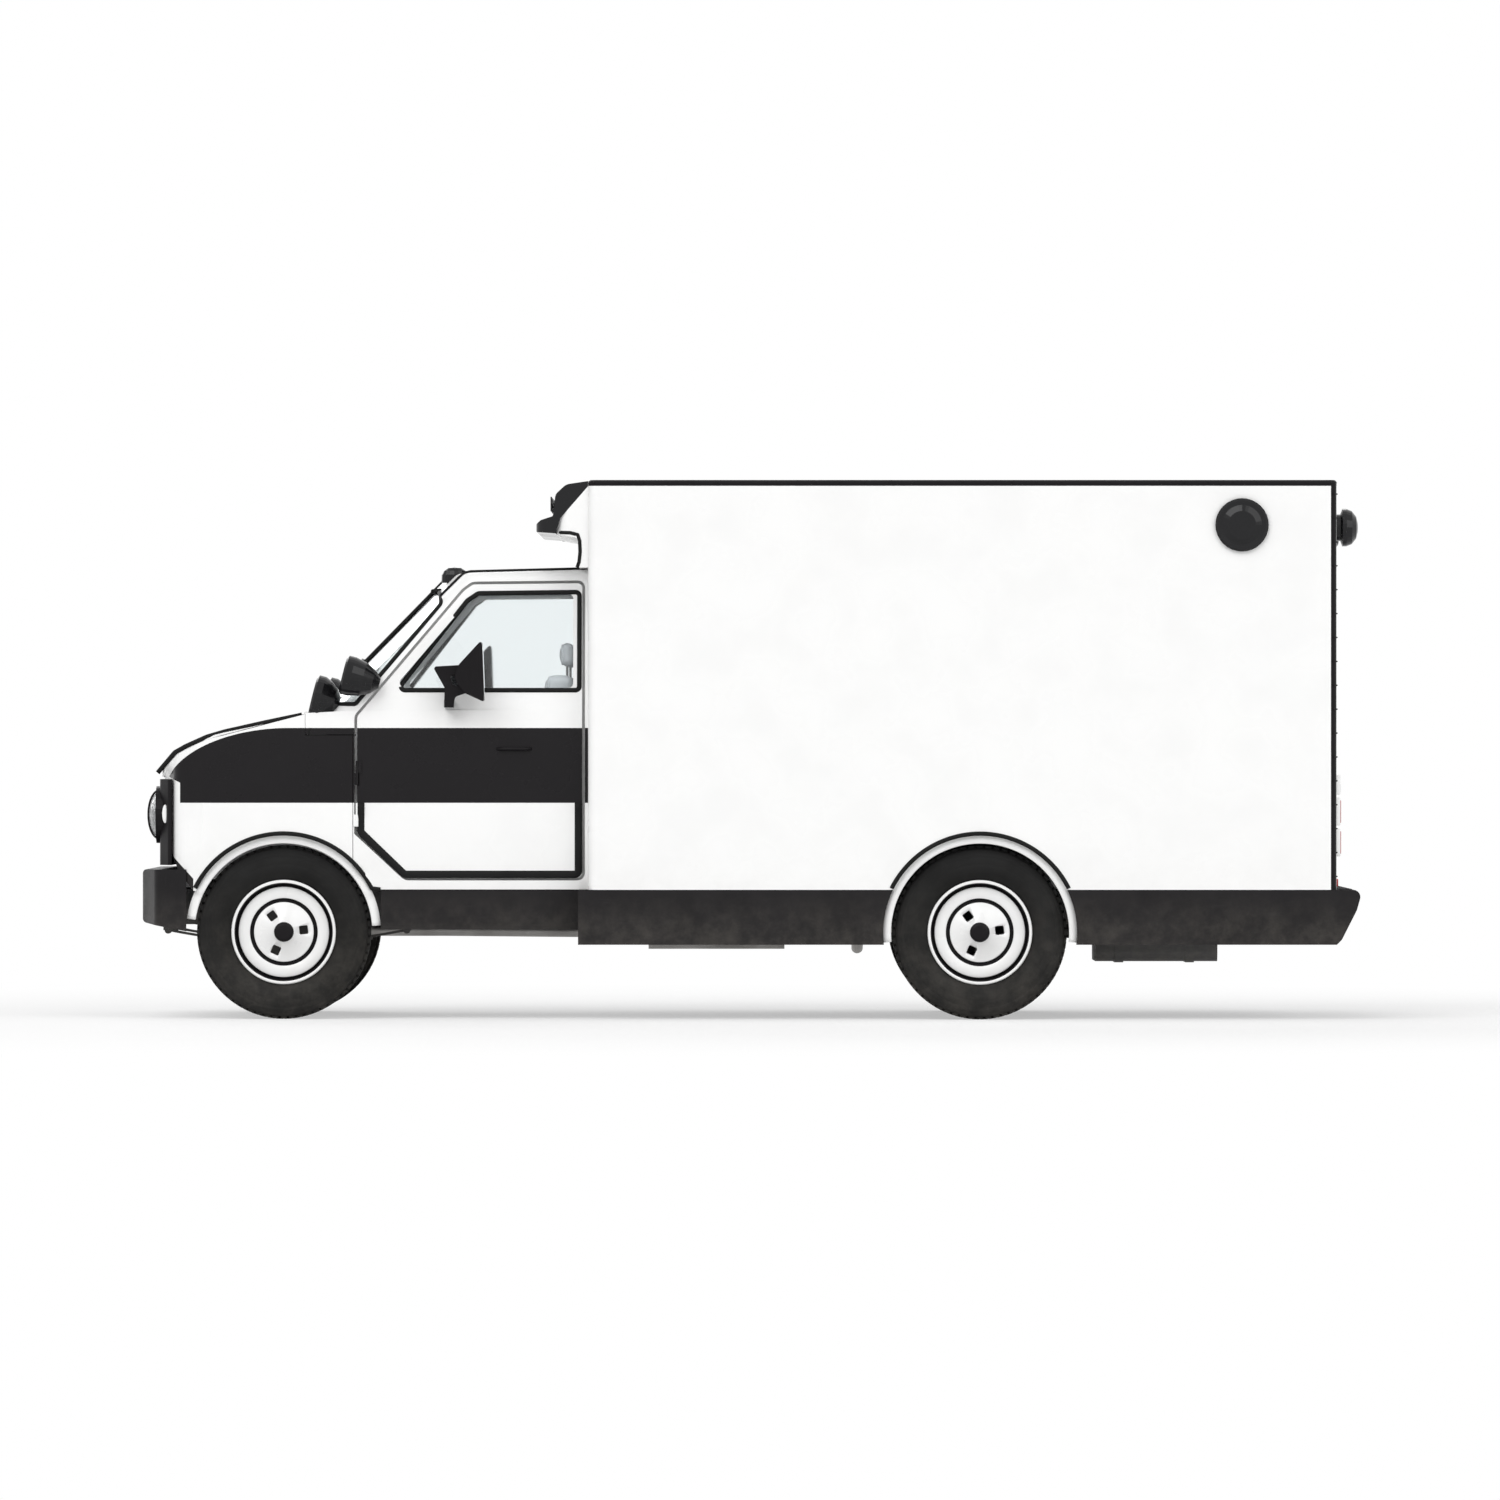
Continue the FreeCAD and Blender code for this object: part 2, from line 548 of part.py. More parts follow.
def make_head_lamps():
    """Bowl with its black bezel ring, one at each side."""
    shell = [(0, 160), (80, 160), (LAMP_R, 140), (LAMP_R, 66), (LAMP_R + 22, 66), (LAMP_R + 22, 0), (106, 0),
             (100, 70), (70, 130), (0, 136)]
    return both_sides(turned_x(shell, LAMP_RIM_X, -LAMP_Y, LAMP_Z, LAMP_SIDES))


def make_lamp_lenses():
    """Clear parts of the lamps in front: two head lamp domes and the light bar's windows."""
    bulge = LAMP_RIM_X - LAMP_FRONT_X
    dome = [(0, -bulge), (45, -bulge + 4), (88, -bulge + 17), (LAMP_R - 2, 0), (LAMP_R - 12, 0),
            (82, -bulge + 25), (42, -bulge + 12), (0, -bulge + 8)]
    lens = turned_x(dome, LAMP_RIM_X, -LAMP_Y, LAMP_Z, LAMP_SIDES)
    windows = [box(-980, -966, y0, y1, z0, z1) for y0, y1, z0, z1 in light_bar_windows()]
    return Part.makeCompound([lens, mirrored(lens), *windows])


def make_front_bumper():
    """Wrap-around bumper, open below, with two brackets behind it."""
    plan = [(-2836, -990), (-2985, -990, 70), (-3070, -700, 260), (-3070, 700, 260), (-2985, 990, 70), (-2836, 990)]
    side = [(-3070, 753, 26), (-2836, 753), (-2836, 442), (-3070, 487, 26)]
    block = along_z(plan, 400, 800).common(along_y(side, -1200, 1200))
    inner_plan = [(-2700, -976), (-2980, -976, 62), (-3056, -696, 250), (-3056, 696, 250), (-2980, 976, 62),
                  (-2700, 976)]
    inner_side = [(-3056, 739, 14), (-2700, 739), (-2700, 380), (-3056, 380)]
    block = less(block, [along_z(inner_plan, 370, 820).common(along_y(inner_side, -1200, 1200)),
                         box(-2911, -2700, -960, 960, 400, 800), nose_form(0, 646)])
    brackets = [box(-3058, RAIL_FRONT_X, y - 45, y + 45, 500, 640) for y in (-397, 397)]
    return less(fused(block, *brackets), [arch_cylinder(FRONT_AXLE_X, ARCH_R, y0, y1)
                                          for y0, y1 in ((-1200, -462), (462, 1200))])


# Running gear
def make_tyre(y, side):
    """Tyre as a ring with beads, bulged walls and a slightly crowned tread."""
    half = [(RIM_SEAT_R, 87), (RIM_FLANGE_R + 4, 88), (325, TYRE_W / 2), (405, 116), (TYRE_R, 90)]
    other = [(r, -w) for r, w in reversed(half)]
    inner = [(280, -84), (408, -84), (408, 84), (280, 84)]
    return turned_y(half + other + inner, FRONT_AXLE_X, y, TYRE_R, WHEEL_SIDES, side)


def rim_profile():
    """Wheel section as (radius, distance outwards): face with two grooves, flange and drop-centre barrel."""
    return [(0, 84), (46, 84), (49, 60), (150, 60), (152, 44), (168, 44), (170, 62), (228, 62), (231, 44), (237, 44),
            (239, 98), (RIM_FLANGE_R, 98), (RIM_FLANGE_R, 89), (RIM_SEAT_R - 0.1, 87), (RIM_SEAT_R - 0.1, 62),
            (RIM_WELL_R, 44), (RIM_WELL_R, -44), (RIM_SEAT_R - 0.1, -62), (RIM_SEAT_R - 0.1, -87),
            (RIM_FLANGE_R, -89), (RIM_FLANGE_R, -98), (237, -98), (203, -48), (203, 28)]


def face_holes(y, side, x):
    """Rounded openings through the wheel face, evenly spaced on a circle."""
    holes = []
    h = HAND_HOLE_HALF
    for i in range(HAND_HOLE_COUNT):
        square = [(-h, -h + 8), (-h + 8, -h), (h - 8, -h), (h, -h + 8), (h, h - 8), (h - 8, h), (-h + 8, h), (-h, h - 8)]
        hole = face_of([(HAND_HOLE_CIRCLE_R + u, v) for u, v in square], lambda u, v: V(u, 0, v))
        hole = hole.extrude(V(0, 60 * side, 0))
        hole.rotate(V(0, 0, 0), V(0, 1, 0), 6 + i * 360 / HAND_HOLE_COUNT)
        hole.translate(V(x, y + 14 * side, TYRE_R))
        holes.append(hole)
    return holes


def hub_bore(radius, y, side, w0, w1):
    return rod(radius + RUNNING_FIT, (FRONT_AXLE_X, y + w0 * side, TYRE_R), (FRONT_AXLE_X, y + w1 * side, TYRE_R))


def make_front_rim(side):
    """Wheel with its hub, bored for the spindle."""
    y = FRONT_WHEEL_Y * side
    hub = [(58, 28), (58, 8), (0, 8)]
    rim = turned_y(rim_profile() + hub, FRONT_AXLE_X, y, TYRE_R, WHEEL_SIDES, side)
    return less(rim, face_holes(y, side, FRONT_AXLE_X) + [hub_bore(SPINDLE_R, y, side, 0, 56)])


def make_front_tyre(side):
    return make_tyre(FRONT_WHEEL_Y * side, side)


def at_rear_axle(shape):
    shape.translate(V(WHEELBASE, 0, 0))
    return shape


def make_rear_rims(side):
    """Outer wheel, inner wheel and the long hub that joins them, bored for the axle end."""
    y = REAR_OUTER_Y * side
    step = REAR_OUTER_Y - REAR_INNER_Y
    seat = RIM_SEAT_R - 0.1
    inner_wheel = [(72, 28), (72, 12 - step), (203, 12 - step), (237, 48 - step), (239, 98 - step),
                   (RIM_FLANGE_R, 98 - step), (RIM_FLANGE_R, 89 - step), (seat, 87 - step), (seat, 62 - step),
                   (RIM_WELL_R, 44 - step), (RIM_WELL_R, -44 - step), (seat, -62 - step), (seat, -87 - step),
                   (RIM_FLANGE_R, -89 - step), (RIM_FLANGE_R, -98 - step), (237, -98 - step), (203, -48 - step),
                   (203, -step), (72, -step), (72, HUB_INNER_Y - REAR_OUTER_Y), (0, HUB_INNER_Y - REAR_OUTER_Y)]
    rims = turned_y(rim_profile() + inner_wheel, FRONT_AXLE_X, y, TYRE_R, WHEEL_SIDES, side)
    bore = hub_bore(AXLE_END_R, y, side, HUB_INNER_Y - REAR_OUTER_Y - 10, 54)
    return at_rear_axle(less(rims, face_holes(y, side, FRONT_AXLE_X) + [bore]))


def make_rear_tyres(side):
    pair = [make_tyre(REAR_OUTER_Y * side, side), make_tyre(REAR_INNER_Y * side, side)]
    return at_rear_axle(Part.makeCompound(pair))


def make_knuckle(side):
    """Steering knuckle: two ears on the kingpin, a round brake plate, the spindle and a steering arm."""
    x, z = FRONT_AXLE_X, TYRE_R
    k = KINGPIN_Y
    ears = [box(x - 34, x + 34, k - 32, k + 40, z + a, z + b) for a, b in ((68, 100), (-100, -68))]
    web = box(x - 34, x + 34, k + 34, k + 40, z - 100, z + 100)
    plate = rod(165, (x, k + 40, z), (x, k + 52, z))
    spindle = rod(SPINDLE_R, (x, k + 52, z), (x, FRONT_WHEEL_Y + 54, z))
    arm = along_z([(x + 20, k - 24), (x + 20, k + 40), (x + 60, k + 40), (x + 150, k - 10, 20), (x + 150, k - 46, 20)],
                  z - 100, z - 78)
    body = fused(ears[0], ears[1], web, plate, spindle, arm)
    body = body.cut(rod(KINGPIN_R + RUNNING_FIT, (x, k, z - 120), (x, k, z + 120)))
    return body if side > 0 else mirrored(body)


def leaf_pack(x, z_low, y):
    """Arched leaf spring of three leaves with an eye at each end and hangers up to the frame rail."""
    leaves = []
    for i, half in enumerate((600, 430, 270)):
        rise = 60 * (half / 600) ** 2
        z = z_low + 24 - i * 12
        edge = [Part.Arc(V(x - half, y - 30, z + rise), V(x, y - 30, z), V(x + half, y - 30, z + rise)).toShape(),
                Part.LineSegment(V(x + half, y - 30, z + rise), V(x + half, y - 30, z + rise + 12)).toShape(),
                Part.Arc(V(x + half, y - 30, z + rise + 12), V(x, y - 30, z + 12),
                         V(x - half, y - 30, z + rise + 12)).toShape(),
                Part.LineSegment(V(x - half, y - 30, z + rise + 12), V(x - half, y - 30, z + rise)).toShape()]
        leaves.append(Part.Face(Part.Wire(edge)).extrude(V(0, 60, 0)))
    for end in (-606, 606):
        z = z_low + 24 + 66
        leaves.append(rod(18, (x + end, y - 34, z), (x + end, y + 34, z)))
        leaves.append(box(x + end - 24, x + end + 24, y - 34, y + 34, z, RAIL_TOP_Z - RAIL_H))
    leaves.append(box(x - 60, x + 60, y - 34, y + 34, z_low - 12, z_low + 38))
    return fused(*leaves)


def make_front_axle():
    """Dropped beam with kingpins and two leaf springs."""
    k = KINGPIN_Y
    z = TYRE_R
    front = [(-k - 20, z + 30), (-k - 20, z - 30), (-k + 60, z - 40, 60), (-520, 290, 60), (520, 290, 60),
             (k - 60, z - 40, 60), (k + 20, z - 30), (k + 20, z + 30), (k - 60, z + 24, 60), (520, 352, 60),
             (-520, 352, 60), (-k + 60, z + 24, 60)]
    beam = along_x(front, FRONT_AXLE_X - 28, FRONT_AXLE_X + 28)
    parts = [beam]
    for y in (-k, k):
        parts.append(rod(32, (FRONT_AXLE_X, y, z - 62), (FRONT_AXLE_X, y, z + 62)))
        parts.append(rod(KINGPIN_R, (FRONT_AXLE_X, y, z - 106), (FRONT_AXLE_X, y, z + 106)))
    for y in (-RAIL_MID_Y, RAIL_MID_Y):
        parts.append(leaf_pack(FRONT_AXLE_X, 350, y))
    return fused(*parts)


def make_rear_axle():
    """Axle housing with its differential, brake plates, wheel spindles and two leaf springs."""
    z = TYRE_R
    centre = turned_y([(0, -150), (60, -150), (120, -100), (145, -40), (145, 40), (120, 100), (60, 150), (0, 150)],
                      FRONT_AXLE_X, 0, z, 24)
    parts = [centre,
             rod(46, (FRONT_AXLE_X, -HUB_INNER_Y + 22, z), (FRONT_AXLE_X, HUB_INNER_Y - 22, z)),
             rod(AXLE_END_R, (FRONT_AXLE_X, -REAR_OUTER_Y - 52, z), (FRONT_AXLE_X, REAR_OUTER_Y + 52, z)),
             rod(56, (FRONT_AXLE_X - 190, 0, z), (FRONT_AXLE_X, 0, z))]
    for side in (-1, 1):
        parts.append(rod(170, (FRONT_AXLE_X, (HUB_INNER_Y - 26) * side, z), (FRONT_AXLE_X, (HUB_INNER_Y - 8) * side, z)))
        parts.append(leaf_pack(FRONT_AXLE_X, 358, RAIL_MID_Y * side))
    return at_rear_axle(fused(*parts))


def make_frame_rails():
    """Two channel side rails, lightened over the rear axle, with cross members and body pads."""
    x0, x1 = RAIL_FRONT_X, RAIL_REAR_X
    top = RAIL_TOP_Z
    low = top - RAIL_H
    side = [(x0, top), (x0, low), (REAR_AXLE_X - 420, low), (REAR_AXLE_X - 320, low + 75, 40),
            (REAR_AXLE_X + 320, low + 75, 40), (REAR_AXLE_X + 420, low), (x1, low), (x1, top)]
    web = along_y(side, RAIL_OUT_Y - RAIL_W, RAIL_OUT_Y)
    channel = web.cut(along_y(side, RAIL_OUT_Y - RAIL_W - 5, RAIL_OUT_Y - RAIL_T, -RAIL_T))
    bore_x = LASHING_BORE_X
    bore = rod(LASHING_BORE_R, (bore_x, RAIL_MID_Y, low - RAIL_T), (bore_x, RAIL_MID_Y, low + 2 * RAIL_T))
    channel = channel.cut(bore)
    pads = [box(x - 45, x + 45, RAIL_OUT_Y - RAIL_W, RAIL_OUT_Y, top, SILL_Z) for x in (-1900, -1350, -900)]
    pads += [box(x - 60, x + 60, RAIL_OUT_Y - RAIL_W, RAIL_OUT_Y, top, BOX_FLOOR_Z - BOX_FLOOR_T)
             for x in (-690, -100, 600, 1158, 1750, 2350, 2830)]
    rail = fused(channel, *pads)
    inner = RAIL_OUT_Y - RAIL_T - SEAT_FIT
    cross = [box(x0, x0 + 60, -inner, inner, 500, 630),
             box(-1640, -1540, -inner, inner, low, low + 24),
             box(-460, -380, -inner, inner, 590, 630), box(420, 500, -inner, inner, 590, 630),
             box(1600, 1680, -inner, inner, 590, 630), box(2420, 2500, -inner, inner, 500, 630),
             box(x1 - 60, x1, -inner, inner, 500, 630)]
    return Part.makeCompound([rail, mirrored(rail), *cross])


def make_engine_block():
    """Plain block at the engine's place, with its gearbox behind and two feet on the rails."""
    block = [(-2790, 560, 30), (-2790, 1120, 40), (-1960, 1120, 40), (-1960, 560, 30)]
    engine = along_y(block, -215, 215)
    gearbox = [(-1980, 494, 20), (-1980, 860, 60), (-1560, 644, 60), (-1250, 640, 20), (-1250, 494, 20)]
    feet = [box(-2440, -2340, -RAIL_OUT_Y + RAIL_T, RAIL_OUT_Y - RAIL_T, 570, 600)]
    return fused(engine, along_y(gearbox, -140, 140), *feet)


def make_radiator():
    core = box(-2868, -2816, -APRON_Y, APRON_Y, 660, 1160)
    return core.makeFillet(12, [e for e in core.Edges if e.BoundBox.YLength > 100])


def make_driveshaft():
    start = V(-1250, 0, DRIVE_Z)
    end = V(REAR_AXLE_X - 190, 0, TYRE_R)
    run = (end - start).normalize()
    joints = [rod(52, tuple(start), tuple(start + run * 90)), rod(52, tuple(end - run * 90), tuple(end))]
    shaft = fused(rod(38, tuple(start), tuple(end)), *joints)
    return less(shaft, [box(-1400, -1250, -80, 80, 400, 700), box(REAR_AXLE_X - 190, REAR_AXLE_X, -80, 80, 300, 600)])


def make_exhaust():
    """Pipe from the engine's right side under the rail to a silencer, out below the right skirt."""
    pipe = tube([(-2060, 215, 620), (-2060, 300, 620), (-1960, 300, 430), (-1560, 300, 430), (-900, 560, 420),
                 (560, 560, 420), (560, 900, 420), (560, 1165, 325)], 30, 70)
    silencer = along_x([(450, 330, 60), (670, 330, 60), (670, 510, 60), (450, 510, 60)], -520, 180)
    return fused(pipe, silencer)


def make_fuel_tank():
    tank = along_x([(-340, 280, 50), (340, 280, 50), (340, 462, 30), (-340, 462, 30)], 1760, 2380)
    straps = []
    for x in (1880, 2240):
        strap = along_x([(-346, 274, 54), (346, 274, 54), (346, 462), (RAIL_OUT_Y, 462), (RAIL_OUT_Y, 470),
                         (-RAIL_OUT_Y, 470), (-RAIL_OUT_Y, 462), (-346, 462)], x - 22, x + 22)
        straps.append(strap)
    return fused(tank, *straps)


# Patient compartment
def rounded_box_form():
    """Outer form of the compartment, with rounded upright corners."""
    r = BOX_CORNER_R
    plan = [(BOX_FRONT_X, -BOX_HALF_W, r), (BOX_REAR_X, -BOX_HALF_W, r), (BOX_REAR_X, BOX_HALF_W, r),
            (BOX_FRONT_X, BOX_HALF_W, r)]
    form = along_z(plan, SILL_Z, BOX_TOP_Z)
    return form.makeFillet(14, [e for e in form.Edges if e.BoundBox.ZMin > BOX_TOP_Z - 1])


BOX_FORM = rounded_box_form()
WALL_Y = BOX_HALF_W - BOX_WALL
ROOF_UNDER_Z = BOX_TOP_Z - BOX_ROOF_T


def rear_arches(radius, y0):
    return [arch_cylinder(REAR_AXLE_X, radius, y0, 1300), arch_cylinder(REAR_AXLE_X, radius, -1300, -y0)]


def trim_region():
    """Where the black edge trim goes: roof edges and the two rear corners."""
    w = TRIM_W
    regions = [box(BOX_REAR_X - w, BOX_REAR_X + 10, -BOX_HALF_W, BOX_HALF_W, BOX_TOP_Z - w, BOX_TOP_Z + 10)]
    for y0, y1 in ((-BOX_HALF_W - 10, -BOX_HALF_W + w), (BOX_HALF_W - w, BOX_HALF_W + 10)):
        regions.append(box(BOX_FRONT_X, BOX_REAR_X + 10, y0, y1, BOX_TOP_Z - w, BOX_TOP_Z + 10))
        regions.append(box(BOX_REAR_X - w, BOX_REAR_X + 10, y0, y1, SILL_Z, BOX_TOP_Z))
    return fused(*regions)


TRIM_REGION = trim_region()


def make_box_trim():
    return BOX_FORM.common(TRIM_REGION)


def panel(x0, x1, y0, y1, z0, z1):
    """Part of the compartment's form that lies in a box, clear of the edge trim."""
    return BOX_FORM.common(box(x0, x1, y0, y1, z0, z1)).cut(TRIM_REGION)


def make_box_left_wall():
    wall = panel(BOX_FRONT_X, BOX_REAR_X, -BOX_HALF_W, -WALL_Y, SILL_Z, ROOF_UNDER_Z)
    return less(wall, rear_arches(ARCH_R, 500))


def side_door_outline(grow):
    x0, x1 = SIDE_DOOR_X0 - grow, SIDE_DOOR_X0 + SIDE_DOOR_W + grow
    return [(x0, BOX_DOOR_BOTTOM_Z - grow, 40), (x1, BOX_DOOR_BOTTOM_Z - grow, 40),
            (x1, SIDE_DOOR_TOP_Z + grow, 40), (x0, SIDE_DOOR_TOP_Z + grow, 40)]


def make_box_right_wall():
    """Right wall with a stepped opening for the side door."""
    wall = panel(BOX_FRONT_X, BOX_REAR_X, WALL_Y, BOX_HALF_W, SILL_Z, ROOF_UNDER_Z)
    opening = along_y(side_door_outline(REAR_DOOR_GAP), BOX_HALF_W - BOX_DOOR_T - REAR_DOOR_GAP, BOX_HALF_W + 10)
    inner = along_y(side_door_outline(-BOX_DOOR_LAP), WALL_Y - 10, BOX_HALF_W + 10)
    wall = less(wall, rear_arches(ARCH_R, 500) + [opening, inner])
    return fused(wall, *side_hinges(SIDE_DOOR_X0 - 50, False))


def make_box_roof():
    return panel(BOX_FRONT_X, BOX_REAR_X, -BOX_HALF_W, BOX_HALF_W, ROOF_UNDER_Z, BOX_TOP_Z)


def make_box_front_wall():
    """Wall behind the cab with the walk-through opening."""
    wall = panel(BOX_FRONT_X, BOX_FRONT_X + BOX_WALL, -WALL_Y, WALL_Y, SILL_Z, ROOF_UNDER_Z)
    way = [(-PASS_HALF_W, BOX_FLOOR_Z), (PASS_HALF_W, BOX_FLOOR_Z), (PASS_HALF_W, 2120, 80), (-PASS_HALF_W, 2120, 80)]
    return wall.cut(along_x(way, BOX_FRONT_X - 10, BOX_FRONT_X + BOX_WALL + 10))


def rear_door_outline(side, grow):
    y0 = REAR_DOOR_GAP / 2 - grow
    y1 = REAR_DOOR_W + grow
    z0, z1 = BOX_DOOR_BOTTOM_Z - grow, REAR_DOOR_TOP_Z + grow
    return [(y0 * side, z0), (y1 * side, z0, 40), (y1 * side, z1, 40), (y0 * side, z1)]


def make_box_rear_wall():
    """Rear wall with a stepped opening for the pair of doors."""
    wall = panel(BOX_REAR_X - BOX_WALL, BOX_REAR_X, -WALL_Y, WALL_Y, SILL_Z, ROOF_UNDER_Z)
    w, z0, z1 = REAR_DOOR_W, BOX_DOOR_BOTTOM_Z, REAR_DOOR_TOP_Z
    g, lap = REAR_DOOR_GAP, BOX_DOOR_LAP
    opening = [(-w - g, z0 - g, 40), (w + g, z0 - g, 40), (w + g, z1 + g, 40), (-w - g, z1 + g, 40)]
    inner = [(-w + lap, z0 + lap, 40), (w - lap, z0 + lap, 40), (w - lap, z1 - lap, 40), (-w + lap, z1 - lap, 40)]
    wall = less(wall, [along_x(opening, BOX_REAR_X - BOX_DOOR_T - g, BOX_REAR_X + 10),
                       along_x(inner, BOX_REAR_X - BOX_WALL - 10, BOX_REAR_X + 10)])
    leaves = rear_hinges(-1, REAR_DOOR_W + 60, False) + rear_hinges(1, REAR_DOOR_W + 60, False)
    return fused(wall, *leaves)


def make_box_floor():
    """Floor slab with the two wheel wells that stand up through it."""
    x0, x1 = BOX_FRONT_X + BOX_WALL, BOX_REAR_X - BOX_WALL
    low = BOX_FLOOR_Z - BOX_FLOOR_T
    slab = less(box(x0, x1, -WALL_Y, WALL_Y, low, BOX_FLOOR_Z), rear_arches(ARCH_R, WELL_Y))
    wells = []
    for y0, y1 in ((WELL_Y - ARCH_LINER_T, WALL_Y), (-WALL_Y, -WELL_Y + ARCH_LINER_T)):
        tub = arch_cylinder(REAR_AXLE_X, ARCH_R + ARCH_LINER_T, y0, y1).common(box(x0, x1, y0, y1, low, 1000))
        wells.append(less(tub, rear_arches(ARCH_R, WELL_Y)))
    return fused(slab, *wells)


CAP_SIDE = [(BOX_FRONT_X, 2680), (-950, 2520), (-975, 2443), (-870, 2422, 20), (-848, 2396, 12), (-845, 2330),
            (-856, 2272), (BOX_FRONT_X, 2272)]
LIGHT_BAR_SIDE = [(BOX_FRONT_X, 2706), (-921, 2690, 60), (-975, 2640, 40), (-988, 2530, 10), (-1050, 2510, 20),
                  (-1072, 2490, 10), (-1072, 2450, 8), (-975, 2443), (-950, 2520), (BOX_FRONT_X, 2680)]


def cap_plan(front_x):
    w = CAP_HALF_W
    return [(BOX_FRONT_X, -w), (front_x, -w, 70), (front_x, w, 70), (BOX_FRONT_X, w)]


def make_box_cap():
    """White shroud on the front of the compartment, above the cab roof."""
    return along_y(CAP_SIDE, -1200, 1200).common(along_z(cap_plan(-975), 2200, 2750))


def make_front_light_bar():
    """Black housing wrapped over the shroud, with a lip along its foot and a row of lamp windows."""
    body = along_y(LIGHT_BAR_SIDE, -1200, 1200).common(along_z(cap_plan(-1072), 2200, 2750))
    return less(body, [box(-1000, -966, y0, y1, z0, z1) for y0, y1, z0, z1 in light_bar_windows()])


def make_skirts():
    """Black lower panels: cab sill with its inner lip, and the compartment skirt with the wheel arch."""
    x0, x1 = SKIRT_FRONT_X, BOX_REAR_X
    skirt = box(x0, x1, BOX_HALF_W - SKIRT_T, BOX_HALF_W, SKIRT_BOTTOM_Z, SILL_Z)
    skirt = skirt.cut(arch_cylinder(REAR_AXLE_X, ARCH_R, 900, 1300))
    front = box(x0, x0 + 30, CAB_SILL_Y - 60, BOX_HALF_W - SKIRT_T, SKIRT_BOTTOM_Z, SILL_Z)
    sill_end = x0 - SEAT_FIT
    sill = box(-1855, sill_end, CAB_SILL_Y - SKIRT_T, CAB_SILL_Y, 452, SILL_Z)
    lip = box(-1855, sill_end, CAB_SILL_Y - 100, CAB_SILL_Y - SKIRT_T, 452, 470)
    sill = fused(sill, lip).cut(arch_cylinder(FRONT_AXLE_X, ARCH_R + 4, 700, 1300))
    panel = fused(skirt, front)
    return Part.makeCompound([sill, mirrored(sill), panel, mirrored(panel)])


def make_rear_bumper():
    """Step bumper: a folded shell open to the front, with two brackets to the frame."""
    side = [(BOX_REAR_X, 653), (BUMPER_REAR_X + 8, 653, 36), (3050, 552, 80), (2974, 402, 40), (BOX_REAR_X, 377)]
    block = along_y(side, -BOX_HALF_W, BOX_HALF_W)
    hollow = along_y([(BOX_REAR_X - 40, 641), (3056, 641, 24), (3038, 552, 70), (2966, 412, 30),
                      (BOX_REAR_X - 40, 389)], -BOX_HALF_W + 12, BOX_HALF_W - 12)
    brackets = [box(RAIL_REAR_X, 3036, y - 35, y + 35, 560, 648) for y in (-RAIL_MID_Y, RAIL_MID_Y)]
    return fused(block.cut(hollow), *brackets)


# Doors of the patient compartment
REAR_WINDOW = [(110, 1640, 50), (490, 1640, 50), (490, 2160, 50), (110, 2160, 50)]
SIDE_WINDOW = [(SIDE_DOOR_X0 + 170, 1680, 50), (SIDE_DOOR_X0 + 610, 1680, 50), (SIDE_DOOR_X0 + 610, 2220, 50),
               (SIDE_DOOR_X0 + 170, 2220, 50)]
REAR_HINGE_X = BOX_REAR_X + HINGE_OUT
REAR_HINGE_Y = REAR_DOOR_W + REAR_DOOR_GAP / 2
SIDE_HINGE_X = SIDE_DOOR_X0 - REAR_DOOR_GAP / 2
SIDE_HINGE_Y = BOX_HALF_W + HINGE_OUT


def rear_hinges(side, y_far, moving):
    """Hinge halves of a rear door, their leaves reaching from the hinge line to y_far."""
    y = REAR_HINGE_Y * side
    bore = rod(HINGE_PIN_R + RUNNING_FIT, (REAR_HINGE_X, y, 600), (REAR_HINGE_X, y, 2600))
    y0, y1 = sorted((y, y_far * side))
    leaves = [box(BOX_REAR_X, REAR_HINGE_X, y0, y1, z0, z1).cut(bore) for z0, z1 in hinge_leaf_heights(moving)]
    return leaves + hinge_knuckles(REAR_HINGE_X, y, moving)


def side_hinges(x_far, moving):
    bore = rod(HINGE_PIN_R + RUNNING_FIT, (SIDE_HINGE_X, SIDE_HINGE_Y, 600), (SIDE_HINGE_X, SIDE_HINGE_Y, 2600))
    x0, x1 = sorted((SIDE_HINGE_X, x_far))
    leaves = [box(x0, x1, BOX_HALF_W, SIDE_HINGE_Y, z0, z1).cut(bore) for z0, z1 in hinge_leaf_heights(moving)]
    return leaves + hinge_knuckles(SIDE_HINGE_X, SIDE_HINGE_Y, moving)


def make_rear_door(side):
    """Rear door leaf with its window opening, lever plate and hinge leaves."""
    leaf = along_x(rear_door_outline(side, 0), BOX_REAR_X - BOX_DOOR_T, BOX_REAR_X)
    window = [(y * side, z, r) for y, z, r in REAR_WINDOW]
    leaf = leaf.cut(along_x(window, BOX_REAR_X - 100, BOX_REAR_X + 20))
    lever = along_x([(40 * side, 1180, 14), (100 * side, 1180, 14), (100 * side, 1380, 14), (40 * side, 1380, 14)],
                    BOX_REAR_X, BOX_REAR_X + 18)
    return fused(leaf, lever, *rear_hinges(side, REAR_DOOR_W - 50, True))


def make_rear_door_glass(side):
    window = [(y * side, z, r) for y, z, r in REAR_WINDOW]
    return along_x(window, BOX_REAR_X - 24, BOX_REAR_X - 18)


